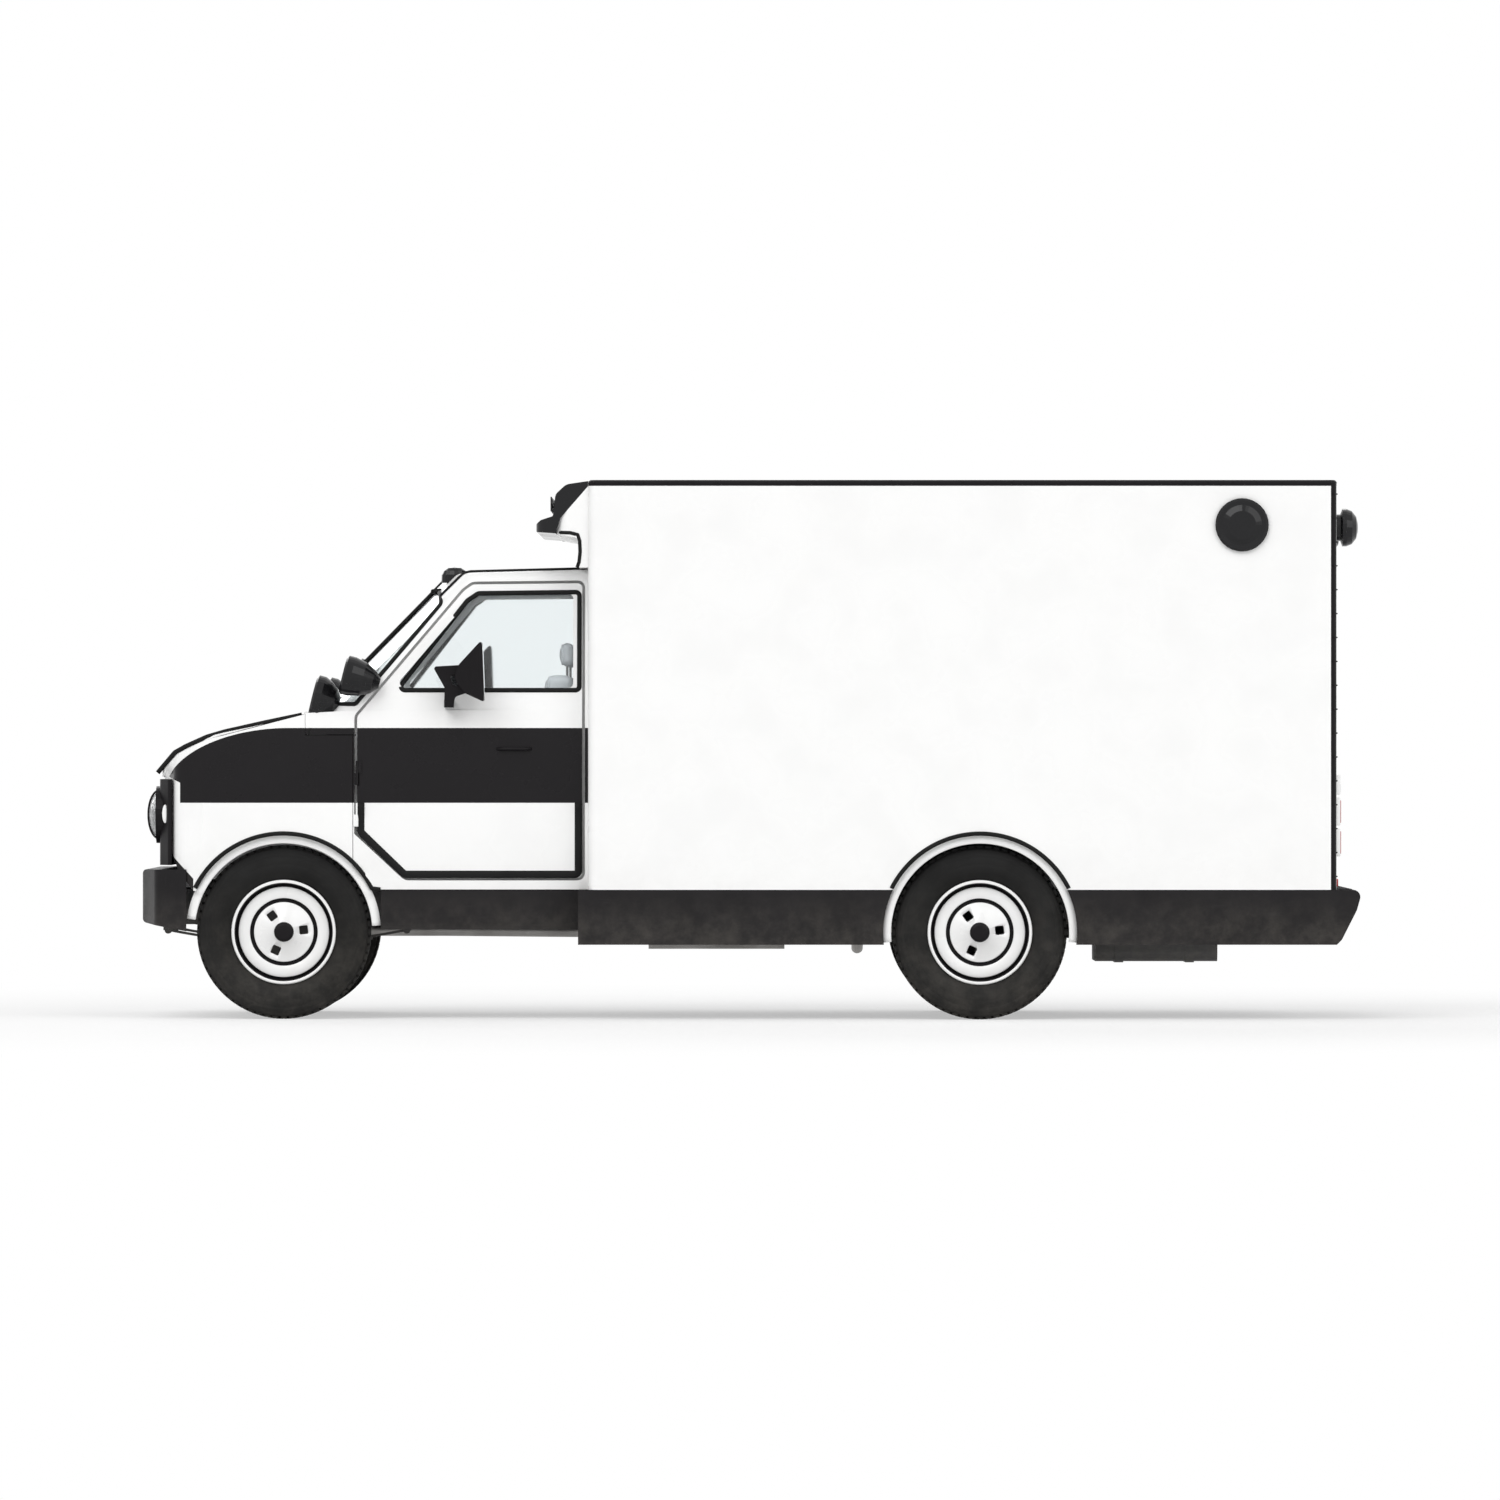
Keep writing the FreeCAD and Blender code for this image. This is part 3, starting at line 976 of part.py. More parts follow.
def make_side_door():
    leaf = along_y(side_door_outline(0), BOX_HALF_W - BOX_DOOR_T, BOX_HALF_W)
    leaf = leaf.cut(along_y(SIDE_WINDOW, BOX_HALF_W - 100, BOX_HALF_W + 20))
    x = SIDE_DOOR_X0 + SIDE_DOOR_W
    lever = along_y([(x - 110, 1180, 14), (x - 50, 1180, 14), (x - 50, 1380, 14), (x - 110, 1380, 14)],
                    BOX_HALF_W, BOX_HALF_W + 18)
    return fused(leaf, lever, *side_hinges(SIDE_DOOR_X0 + 50, True))


def make_side_door_glass():
    return along_y(SIDE_WINDOW, BOX_HALF_W - 24, BOX_HALF_W - 18)


# Lamps, mirrors and fittings outside
def make_tail_lamps():
    """Stack of lamps at each side of the rear wall."""
    lamps = []
    for z0, z1 in ((820, 960), (975, 1115), (1130, 1230)):
        lamps.append(along_x([(-1090, z0, 16), (-940, z0, 16), (-940, z1, 16), (-1090, z1, 16)],
                             BOX_REAR_X, BOX_REAR_X + 26))
    pair = [both_sides(lamp) for lamp in lamps]
    return Part.makeCompound(pair)


def make_warning_lamps():
    """Round lamps high on the side walls and domed lamps on necks at the rear corners."""
    low = [(0, 0), (SIDE_LAMP_R, 0), (SIDE_LAMP_R, 18), (SIDE_LAMP_R - 12, 28), (SIDE_LAMP_R - 34, 24),
           (70, 34), (0, 38)]
    side = turned_y(low, SIDE_LAMP_X, -BOX_HALF_W, SIDE_LAMP_Z, LAMP_SIDES, -1)
    dome = [(0, 0), (68, 0), (68, 26), (REAR_LAMP_R, 36), (REAR_LAMP_R, 56), (84, 84), (56, 106), (24, 114), (0, 115)]
    rear = turned_x(dome, BOX_REAR_X, -REAR_LAMP_Y, REAR_LAMP_Z, LAMP_SIDES)
    return Part.makeCompound([side, mirrored(side), rear, mirrored(rear)])


def make_marker_lamps():
    """Five small domes across the front edge of the cab roof."""
    lamps = []
    for i in range(-2, 3):
        dome = turned([(0, -30), (66, -30), (64, 12), (54, 32), (34, 46), (0, 52)], 16,
                      lambda r, t, h: V(MARKER_X + r * math.cos(t), i * 270 + 0.66 * r * math.sin(t), 2232 + h))
        lamps.append(dome.cut(OUTER))
    return Part.makeCompound([max(lamp.Solids, key=lambda s: s.CenterOfMass.z) for lamp in lamps])


def spot_lamp(x, y, z, radius, depth):
    """Round lamp body with its face tilted up, turned about an axis that points forwards."""
    profile = [(0, 0), (radius - 12, 0), (radius, 10), (radius, 44), (radius * 0.86, 0.55 * depth),
               (radius * 0.6, 0.82 * depth), (radius * 0.26, depth), (0, depth)]
    body = turned_x(profile, x, y, z, LAMP_SIDES)
    body.rotate(V(x, y, z), V(0, 1, 0), SPOT_TILT)
    return body


def make_spot_lamps():
    """Lamp on each windscreen pillar and lamp on each side of the cowl, with their brackets."""
    y = -PILLAR_LAMP_Y
    pillar = spot_lamp(-2046, y, 1736, 100, 190)
    arm = rod(14, (-1905, y, 1716), (-1868, -880, 1716))
    cowl = spot_lamp(-2202, -COWL_LAMP_Y, 1626, 112, 140)
    foot = rod(26, (-2150, -COWL_LAMP_Y, 1500), (-2150, -COWL_LAMP_Y, 1560))
    left = [fused(pillar, arm), fused(cowl, foot)]
    kept = [less(lamp, [OUTER, nose_form(0, 646)]) for lamp in left]
    kept = [max(lamp.Solids, key=lambda s: s.Volume) for lamp in kept]
    return Part.makeCompound([kept[0], mirrored(kept[0]), kept[1], mirrored(kept[1])])


def make_mirror():
    """Door mirror: tall trumpet head facing rearwards on a forked arm with a foot on the door."""
    head = [(-1344, 1908, 8), (-1333, 1596, 8), (-1428, 1640, 40), (-1486, 1712, 60), (-1462, 1782, 60)]
    bowl = along_y(head, MIRROR_Y - 90, MIRROR_Y + 90)
    plan = [(-1330, MIRROR_Y - 92), (-1330, MIRROR_Y + 92), (-1400, MIRROR_Y + 80, 60), (-1490, MIRROR_Y + 24, 30),
            (-1490, MIRROR_Y - 24, 30), (-1400, MIRROR_Y - 80, 60)]
    bowl = bowl.common(along_z(plan, 1500, 2000))
    fork = [(-1460, 1782), (-1592, 1774, 12), (-1532, 1668, 30), (-1535, 1569), (-1488, 1569), (-1480, 1622, 20),
            (-1428, 1640)]
    hole = [(-1505, 1728, 8), (-1484, 1730, 8), (-1452, 1668, 10), (-1490, 1680, 14)]
    arm = along_y(fork, MIRROR_Y + 10, MIRROR_Y + 40).cut(along_y(hole, MIRROR_Y, MIRROR_Y + 60))
    foot = box(-1535, -1488, MIRROR_Y + 10, -900, 1569, 1606)
    body = fused(bowl, arm, foot).cut(OUTER)
    return max(body.Solids, key=lambda s: s.Volume)


# Cab interior
def make_engine_cover():
    """Padded cover over the engine's rear end between the seats."""
    x0, x1 = FIREWALL_X + CAB_WALL, ENGINE_COVER_X
    outer = [(x0, 728), (x1, 728), (x1 - 20, 1120, 60), (x0, 1206)]
    inner = [(x0 - 20, 700), (x1 - 16, 700), (x1 - 36, 1106, 46), (x0 - 20, 1196)]
    return along_y(outer, -358, 358).cut(along_y(inner, -342, 342))


def make_dashboard():
    """Full-width dashboard with the steering column."""
    x = FIREWALL_X + CAB_WALL
    side = [(x, 1210), (x, 1492), (-1770, 1500, 40), (-1665, 1440, 50), (-1672, 1330, 30), (-1730, 1210, 40)]
    body = along_y(side, -850, 850)
    shelf = [(x, 1010), (x, 1212), (-1752, 1212), (-1810, 1010, 60)]
    panels = [along_y(shelf, y0, y1) for y0, y1 in ((-850, -364), (364, 850))]
    start = WHEEL_CENTRE - COLUMN * 230
    column = rod(32, tuple(start), tuple(WHEEL_CENTRE - COLUMN * 60))
    pin = rod(COLUMN_PIN_R, tuple(start), tuple(WHEEL_CENTRE - COLUMN * 8))
    return fused(body, *panels, column, pin)


def make_steering_wheel():
    """Rim, three spokes and a hub bored for the column, tilted to the driver."""
    section = [(188 + 14 * math.cos(math.pi * k / 4), 14 * math.sin(math.pi * k / 4)) for k in range(8)]
    rim = turned(section, WHEEL_SIDES, lambda r, t, h: V(r * math.cos(t), r * math.sin(t), h))
    hub = Part.makeCylinder(44, 54, V(0, 0, -46))
    spokes = [Part.makeBox(164, 30, 14, V(20, -15, -10)) for _ in range(3)]
    for spoke, turn in zip(spokes, (0, 180, 270)):
        spoke.rotate(V(0, 0, 0), V(0, 0, 1), turn + 90)
    wheel = fused(rim, hub, *spokes).cut(Part.makeCylinder(COLUMN_PIN_R + RUNNING_FIT, 41, V(0, 0, -47)))
    wheel.rotate(V(0, 0, 0), V(0, 1, 0), 90 - COLUMN_ANGLE)
    wheel.translate(WHEEL_CENTRE)
    return wheel


def make_cab_seats():
    """Two high-backed seats with head rests, each on a box base."""
    cushion = [(-1440, 1030, 40), (-1440, 1128, 50), (-1330, 1150, 60), (-970, 1124, 30), (-940, 1030, 30)]
    back = [(-1010, 1110, 20), (-1040, 1150, 30), (-990, 1560, 60), (-955, 1740, 40), (-870, 1750, 40),
            (-880, 1560, 60), (-900, 1110, 30)]
    rest = [(-968, 1770, 24), (-945, 1905, 30), (-880, 1905, 30), (-886, 1770, 24)]
    stem = rod(12, (-916, -SEAT_Y, 1730), (-916, -SEAT_Y, 1800))
    seat = fused(along_y(cushion, -SEAT_Y - 235, -SEAT_Y + 235), along_y(back, -SEAT_Y - 225, -SEAT_Y + 225),
                 along_y(rest, -SEAT_Y - 120, -SEAT_Y + 120), stem)
    base = box(-1380, -980, -SEAT_Y - 190, -SEAT_Y + 190, SILL_Z + CAB_WALL, 1036)
    base = base.cut(box(-1364, -996, -SEAT_Y - 174, -SEAT_Y + 174, 700, 1014))
    return both_sides(fused(seat, base))


# Fittings inside the compartment
def make_cabinets():
    """Open lockers and a counter unit on the left, and the bench box over the right wheel well."""
    x0 = BOX_FRONT_X + BOX_WALL
    upper = box(x0, 2340, -WALL_Y, LOCKER_Y, 1780, 2500)
    bays = []
    width = (2340 - x0 - 5 * 20) / 4
    for i in range(4):
        start = x0 + 20 + i * (width + 20)
        bays.append(box(start, start + width, -WALL_Y + 20, LOCKER_Y + 20, 1800, 2480))
    counter = box(x0, 640, -WALL_Y, COUNTER_Y, BOX_FLOOR_Z, 1500)
    knee = box(60, 620, -WALL_Y + 20, COUNTER_Y + 20, BOX_FLOOR_Z + 20, 1460)
    shelf = box(x0 + 20, 40, -WALL_Y + 20, COUNTER_Y + 20, BOX_FLOOR_Z + 20, 1460)
    bench = box(520, 2440, 530, WALL_Y, BOX_FLOOR_Z, 1130)
    bench = bench.cut(box(540, 2420, 548, WALL_Y + 10, BOX_FLOOR_Z - 10, 1112))
    return Part.makeCompound([less(upper, bays), less(counter, [knee, shelf]), bench])


def make_bench_cushion():
    seat = box(520, 2440, 522, WALL_Y, 1130, 1200)
    seat = seat.makeFillet(20, [e for e in seat.Edges if e.BoundBox.ZMin > 1199])
    back = box(520, 2440, WALL_Y - 60, WALL_Y, 1420, 1760)
    back = back.makeFillet(20, [e for e in back.Edges if e.BoundBox.YMax < WALL_Y - 59])
    return Part.makeCompound([seat, back])


def main():
    os.makedirs("parts", exist_ok=True)
    save("frame_rails", make_frame_rails())
    save("engine_block", make_engine_block())
    save("radiator", make_radiator())
    save("driveshaft", make_driveshaft())
    save("exhaust", make_exhaust())
    save("fuel_tank", make_fuel_tank())
    save("front_axle", make_front_axle())
    save("rear_axle", make_rear_axle())
    for name, side in (("left", -1), ("right", 1)):
        save("knuckle_" + name, make_knuckle(side))
        save("front_rim_" + name, make_front_rim(side))
        save("front_tyre_" + name, make_front_tyre(side))
        save("rear_rims_" + name, make_rear_rims(side))
        save("rear_tyres_" + name, make_rear_tyres(side))
        save("rear_door_" + name, make_rear_door(side))
        save("rear_door_glass_" + name, make_rear_door_glass(side))
    save("cab_shell", make_cab_shell())
    save("windscreen", make_windscreen())
    door, glass, mirror = make_cab_door(), make_door_glass(), make_mirror()
    save("cab_door_left", door)
    save("cab_door_glass_left", glass)
    save("mirror_left", mirror)
    save("cab_door_right", mirrored(door))
    save("cab_door_glass_right", mirrored(glass))
    save("mirror_right", mirrored(mirror))
    save("front_clip", make_front_clip())
    save("hood", make_hood())
    save("grille", make_grille())
    save("head_lamps", make_head_lamps())
    save("lamp_lenses", make_lamp_lenses())
    save("front_bumper", make_front_bumper())
    save("marker_lamps", make_marker_lamps())
    save("spot_lamps", make_spot_lamps())
    save("engine_cover", make_engine_cover())
    save("dashboard", make_dashboard())
    save("steering_wheel", make_steering_wheel())
    save("cab_seats", make_cab_seats())
    save("box_floor", make_box_floor())
    save("box_left_wall", make_box_left_wall())
    save("box_right_wall", make_box_right_wall())
    save("box_front_wall", make_box_front_wall())
    save("box_rear_wall", make_box_rear_wall())
    save("box_roof", make_box_roof())
    save("box_trim", make_box_trim())
    save("box_cap", make_box_cap())
    save("front_light_bar", make_front_light_bar())
    save("side_door", make_side_door())
    save("side_door_glass", make_side_door_glass())
    save("tail_lamps", make_tail_lamps())
    save("warning_lamps", make_warning_lamps())
    save("skirts", make_skirts())
    save("rear_bumper", make_rear_bumper())
    save("cabinets", make_cabinets())
    save("bench_cushion", make_bench_cushion())


if __name__ == "__main__":
    main()
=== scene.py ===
import json
import math

import bmesh
import bpy
from mathutils import Matrix, Vector
from mathutils.bvhtree import BVHTree


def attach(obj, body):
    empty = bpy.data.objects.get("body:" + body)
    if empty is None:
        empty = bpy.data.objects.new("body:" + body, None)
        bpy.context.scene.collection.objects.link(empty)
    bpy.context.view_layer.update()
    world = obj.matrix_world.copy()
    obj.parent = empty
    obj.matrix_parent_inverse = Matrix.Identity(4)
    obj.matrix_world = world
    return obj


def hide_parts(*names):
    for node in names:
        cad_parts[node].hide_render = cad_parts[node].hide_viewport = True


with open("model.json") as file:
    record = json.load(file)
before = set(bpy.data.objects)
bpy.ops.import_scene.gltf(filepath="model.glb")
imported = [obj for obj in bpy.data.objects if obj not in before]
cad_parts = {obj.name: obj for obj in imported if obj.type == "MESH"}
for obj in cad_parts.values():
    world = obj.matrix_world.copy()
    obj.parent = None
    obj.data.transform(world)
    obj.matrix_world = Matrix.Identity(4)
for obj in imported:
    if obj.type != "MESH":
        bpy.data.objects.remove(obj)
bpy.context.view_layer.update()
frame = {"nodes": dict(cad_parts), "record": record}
nodes = frame["nodes"]
bpy.context.scene.view_settings.view_transform = "Standard"
bothSides = ((-1, "left"), (1, "right"))
print("frame loaded:", len(nodes), "nodes")


# general helpers

def newObject(name, data):
    piece = bpy.data.objects.new(name, data)
    bpy.context.scene.collection.objects.link(piece)
    return piece


def meshOf(name, bm, materials=()):
    mesh = bpy.data.meshes.new(name)
    bm.to_mesh(mesh)
    bm.free()
    for material in materials:
        mesh.materials.append(material)
    return mesh


def meshPiece(name, bm, *materials, smooth=True):
    bmesh.ops.remove_doubles(bm, verts=bm.verts, dist=1e-6)
    bmesh.ops.recalc_face_normals(bm, faces=bm.faces)
    for face in bm.faces:
        face.smooth = smooth
    return newObject(name, meshOf(name, bm, materials))


def evaluated(piece):
    # the mesh that a piece's modifiers or curve settings give
    bpy.context.view_layer.update()
    graph = bpy.context.evaluated_depsgraph_get()
    return bpy.data.meshes.new_from_object(piece.evaluated_get(graph))


def plain(piece):
    # keeps the result of the modifiers as a plain mesh
    made = evaluated(piece)
    materials = list(piece.data.materials)
    piece.modifiers.clear()
    piece.data = made
    if not made.materials:
        for material in materials:
            made.materials.append(material)
    return piece


def bevelled(piece, width):
    modifier = piece.modifiers.new("bevel", "BEVEL")
    modifier.width = width
    modifier.segments = 2
    modifier.limit_method = "ANGLE"
    modifier.angle_limit = math.radians(35)
    modifier.harden_normals = False
    return plain(piece)


def walled(piece, thickness):
    # an open sheet with a wall added on its inner side
    wall = piece.modifiers.new("wall", "SOLIDIFY")
    wall.thickness = thickness
    wall.offset = -1
    return plain(piece)


def joined(name, pieces):
    # several plain meshes as one piece
    bm = bmesh.new()
    materials = []
    for piece in pieces:
        for material in piece.data.materials:
            if material not in materials:
                materials.append(material)
        slots = [materials.index(m) for m in piece.data.materials]
        start = len(bm.faces)
        bm.from_mesh(piece.data)
        bm.faces.ensure_lookup_table()
        for face in bm.faces[start:]:
            face.material_index = slots[face.material_index] if slots else 0
        bpy.data.objects.remove(piece)
    return newObject(name, meshOf(name, bm, materials))


def addBox(bm, low, high):
    for vert in bmesh.ops.create_cube(bm, size=1.0)["verts"]:
        vert.co = Vector([a + (u + 0.5) * (b - a) for a, b, u in zip(low, high, vert.co)])


def roundedBox(name, low, high, bevel, finishName):
    bm = bmesh.new()
    addBox(bm, low, high)
    return bevelled(meshPiece(name, bm, finishes[finishName]), bevel)


def bridge(bm, rings, around=True, caps=True):
    # faces from each ring of vertices to the next, and a face on the first and the last ring
    for here, there in zip(rings, rings[1:]):
        count = len(here)
        for k in range(count if around else count - 1):
            n = (k + 1) % count
            bm.faces.new((here[k], here[n], there[n], there[k]))
    if caps:
        bm.faces.new(rings[0])
        bm.faces.new(list(reversed(rings[-1])))


def addSpun(bm, profile, steps, place, slots=None):
    # closed ring of revolution; profile holds (radius, height) corners, place gives the point
    rings = []
    for i in range(steps):
        angle = 2 * math.pi * i / steps
        rings.append([bm.verts.new(place(r, angle, h)) for r, h in profile])
    for here, there in zip(rings, rings[1:] + rings[:1]):
        for k in range(len(profile) - 1):
            face = bm.faces.new((here[k], here[k + 1], there[k + 1], there[k]))
            face.material_index = slots[k] if slots else 0


def alongX(y, z):
    return lambda r, t, h: Vector((h, y + r * math.cos(t), z + r * math.sin(t)))


def alongY(x, y, z, side=1):
    return lambda r, t, h: Vector((x + r * math.cos(t), y + h * side, z + r * math.sin(t)))


def roundedPath(corners, closed=False, steps=8):
    # run of (x, z, radius) corners as points, with an arc at each corner that has a radius
    points = []
    count = len(corners)
    for i, corner in enumerate(corners):
        here = Vector(corner[:2])
        radius = corner[2] if len(corner) > 2 else 0
        if not radius or not closed and i in (0, count - 1):
            points.append(here)
            continue
        before = (Vector(corners[i - 1][:2]) - here).normalized()
        after = (Vector(corners[(i + 1) % count][:2]) - here).normalized()
        half = before.angle(after) / 2
        reach = radius / math.tan(half)
        start, end = here + before * reach, here + after * reach
        centre = here + (before + after).normalized() * radius / math.sin(half)
        first = math.atan2(start.y - centre.y, start.x - centre.x)
        last = math.atan2(end.y - centre.y, end.x - centre.x)
        turn = (last - first + math.pi) % (2 * math.pi) - math.pi
        for k in range(steps + 1):
            angle = first + turn * k / steps
            points.append(centre + Vector((math.cos(angle), math.sin(angle))) * radius)
    return points


def roundedRect(low, high, radius):
    # closed path round a rectangle between two opposite corners
    (x0, z0), (x1, z1) = low, high
    return roundedPath([(x0, z0, radius), (x1, z0, radius), (x1, z1, radius), (x0, z1, radius)], True)


def spaced(points, step, closed=False):
    # the same line with a point at least every step
    made = []
    for a, b in zip(points, points[1:] + points[:1] if closed else points[1:]):
        parts = max(1, math.ceil((b - a).length / step))
        made += [a.lerp(b, k / parts) for k in range(parts)]
    return made if closed else made + [points[-1]]


def surfaceOf(*names):
    # a tree of the named nodes' faces, for finding where a line of sight meets them
    bm = bmesh.new()
    for name in names:
        bm.from_mesh(nodes[name].data)
    tree = BVHTree.FromBMesh(bm)
    bm.free()
    return tree


def seenFrom(tree, start, way, reach):
    # the first point that a line of sight meets, or None
    return tree.ray_cast(Vector(start), Vector(way), reach)[0]


def fromLeft(tree, x, z):
    hit = seenFrom(tree, (x, -2.0, z), (0, 1, 0), 3.0)
    return hit.y if hit else None


def fromFront(tree, y, z):
    hit = seenFrom(tree, (-4.0, y, z), (1, 0, 0), 4.0)
    return hit.x if hit else None


def filled(values):
    # None is filled from the nearest known neighbour
    known = [i for i, v in enumerate(values) if v is not None]
    return [values[min(known, key=lambda k: abs(k - i))] if v is None else v for i, v in enumerate(values)]


def ribbon(name, flat, heights, width, rise, sink, closed=False):
    # strip of rubber along flat (x, z) points that lie at y heights; it stands out by rise
    bevel = min(width * 0.3, rise * 0.8)
    section = [(-width / 2, -sink), (-width / 2, rise - bevel), (-width / 2 + bevel, rise),
               (width / 2 - bevel, rise), (width / 2, rise - bevel), (width / 2, -sink)]
    bm = bmesh.new()
    rings = []
    count = len(flat)
    for i, point in enumerate(flat):
        before = flat[i - 1] if closed or i else point
        after = flat[(i + 1) % count] if closed or i < count - 1 else point
        run = (after - before).normalized()
        across = Vector((-run.y, run.x))
        spots = [(point + across * u, heights[i] - v) for u, v in section]
        rings.append([bm.verts.new((spot.x, y, spot.y)) for spot, y in spots])
    bridge(bm, rings + rings[:1] if closed else rings, caps=not closed)
    return meshPiece(name, bm, finishes["sealRubber"])


def tube(name, points, radius, finishName, closed=False):
    curve = bpy.data.curves.new(name, "CURVE")
    curve.dimensions = "3D"
    curve.bevel_depth = radius
    curve.bevel_resolution = 4
    curve.use_fill_caps = True
    spline = curve.splines.new("POLY")
    spline.points.add(len(points) - 1)
    for spot, point in zip(spline.points, points):
        spot.co = (*point, 1)
    spline.use_cyclic_u = closed
    line = newObject(name, curve)
    mesh = evaluated(line)
    bpy.data.objects.remove(line)
    mesh.materials.clear()
    mesh.materials.append(finishes[finishName])
    for polygon in mesh.polygons:
        polygon.use_smooth = True
    return newObject(name, mesh)


def settle(piece, body, slotName, *stoodFor):
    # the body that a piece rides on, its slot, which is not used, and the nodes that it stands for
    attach(piece, body)
    if stoodFor:
        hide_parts(*stoodFor)


def twins(left, body, slotName):
    # a left piece and its mirror image; {} in the body's name is left or right
    mesh = left.data.copy()
    mesh.transform(Matrix.Diagonal((1, -1, 1, 1)))
    mesh.flip_normals()
    right = newObject(left.name.replace(".left", ".right"), mesh)
    for piece, word in ((left, "left"), (right, "right")):
        settle(piece, body.format(word), slotName)


def put(tree, kind, inputs=None, **settings):
    # a node with these settings, each input set to a value or joined to a socket
    node = tree.nodes.new(kind)
    for label, value in settings.items():
        setattr(node, label, value)
    for label, value in (inputs or {}).items():
        if isinstance(value, bpy.types.NodeSocket):
            tree.links.new(value, node.inputs[label])
        else:
            node.inputs[label].default_value = value
    return node


# shader groups that several finishes share

def newGroup(name, results, **floats):
    # a group with a Vector input, these float inputs and these float outputs
    tree = bpy.data.node_groups.new(name, "ShaderNodeTree")
    socket = tree.interface.new_socket
    socket("Vector", in_out="INPUT", socket_type="NodeSocketVector")
    for label, value in floats.items():
        socket(label, in_out="INPUT", socket_type="NodeSocketFloat").default_value = value
    for label in results:
        socket(label, in_out="OUTPUT", socket_type="NodeSocketFloat")
    return tree, tree.nodes.new("NodeGroupInput").outputs


def endGroup(tree, **results):
    put(tree, "NodeGroupOutput", results)
    return tree


def mathNode(tree, operation, a, b=None, clamp=False):
    given = {0: a} if b is None else {0: a, 1: b}
    return put(tree, "ShaderNodeMath", given, operation=operation, use_clamp=clamp).outputs[0]


def rangeNode(tree, value, low, high, toLow, toHigh):
    given = {"Value": value, "From Min": low, "From Max": high, "To Min": toLow, "To Max": toHigh}
    return put(tree, "ShaderNodeMapRange", given, interpolation_type="SMOOTHSTEP").outputs["Result"]


def makeGrainGroup():
    # fine moulded or sprayed grain: Height for a bump, Mask for uneven gloss
    tree, given = newGroup("mouldedGrain", ("Height", "Mask"), Scale=400.0, Softness=0.5)
    where = {"Vector": given["Vector"], "Scale": given["Scale"]}
    fine = put(tree, "ShaderNodeTexNoise", {**where, "Detail": 3.0, "Roughness": given["Softness"]})
    cells = put(tree, "ShaderNodeTexVoronoi", where)
    broad = put(tree, "ShaderNodeTexNoise", {"Vector": given["Vector"], "Scale": 3.5, "Detail": 5.0})
    height = mathNode(tree, "MULTIPLY", fine.outputs["Fac"], cells.outputs["Distance"])
    return endGroup(tree, Height=height, Mask=rangeNode(tree, broad.outputs["Fac"], 0.35, 0.7, 0.0, 1.0))


def makeDustGroup():
    # road dust: thick near the ground, thinning out upwards, broken by noise
    tree, given = newGroup("roadDust", ("Mask",), Low=0.4, High=1.1, Amount=0.3)
    split = put(tree, "ShaderNodeSeparateXYZ", {0: given["Vector"]})
    noise = put(tree, "ShaderNodeTexNoise",
                {"Vector": given["Vector"], "Scale": 9.0, "Detail": 8.0, "Roughness": 0.65})
    low = rangeNode(tree, split.outputs["Z"], given["Low"], given["High"], 1.0, 0.0)
    spots = rangeNode(tree, noise.outputs["Fac"], 0.3, 0.75, 0.15, 1.0)
    both = mathNode(tree, "MULTIPLY", low, spots)
    return endGroup(tree, Mask=mathNode(tree, "MULTIPLY", both, given["Amount"], clamp=True))


def makeScuffGroup():
    # thin rubbed streaks, for metal and plastic that gets handled
    tree, given = newGroup("scuffMarks", ("Mask",), Scale=6.0, Amount=0.3)
    stretch = put(tree, "ShaderNodeVectorMath", {0: given["Vector"], 1: (1.0, 1.0, 7.0)},
                  operation="MULTIPLY")
    noise = put(tree, "ShaderNodeTexNoise",
                {"Vector": stretch.outputs[0], "Scale": given["Scale"], "Detail": 10.0, "Roughness": 0.75})
    streaks = rangeNode(tree, noise.outputs["Fac"], 0.56, 0.72, 0.0, 1.0)
    return endGroup(tree, Mask=mathNode(tree, "MULTIPLY", streaks, given["Amount"]))


bandSizes = {
    "bottom": 1.089,
    "top": 1.466,
    "curveStart": -2.319,  # where the top edge starts to fall towards the nose
    "curveLength": 0.64,
    "curveDrop": 0.35,
    "noseX": -2.868,
    "noseZ": 1.19,
    "noseSlope": 2.0,
    "halfWidth": 0.970,  # further in than this nothing is painted
    "noseHalfWidth": 0.80,
    "noseStart": -2.68,
    "valanceZ": -2.292,  # dark valance where z plus its slope times x is below this
    "valanceSlope": 1.071,
    "valanceX": -2.80,
}


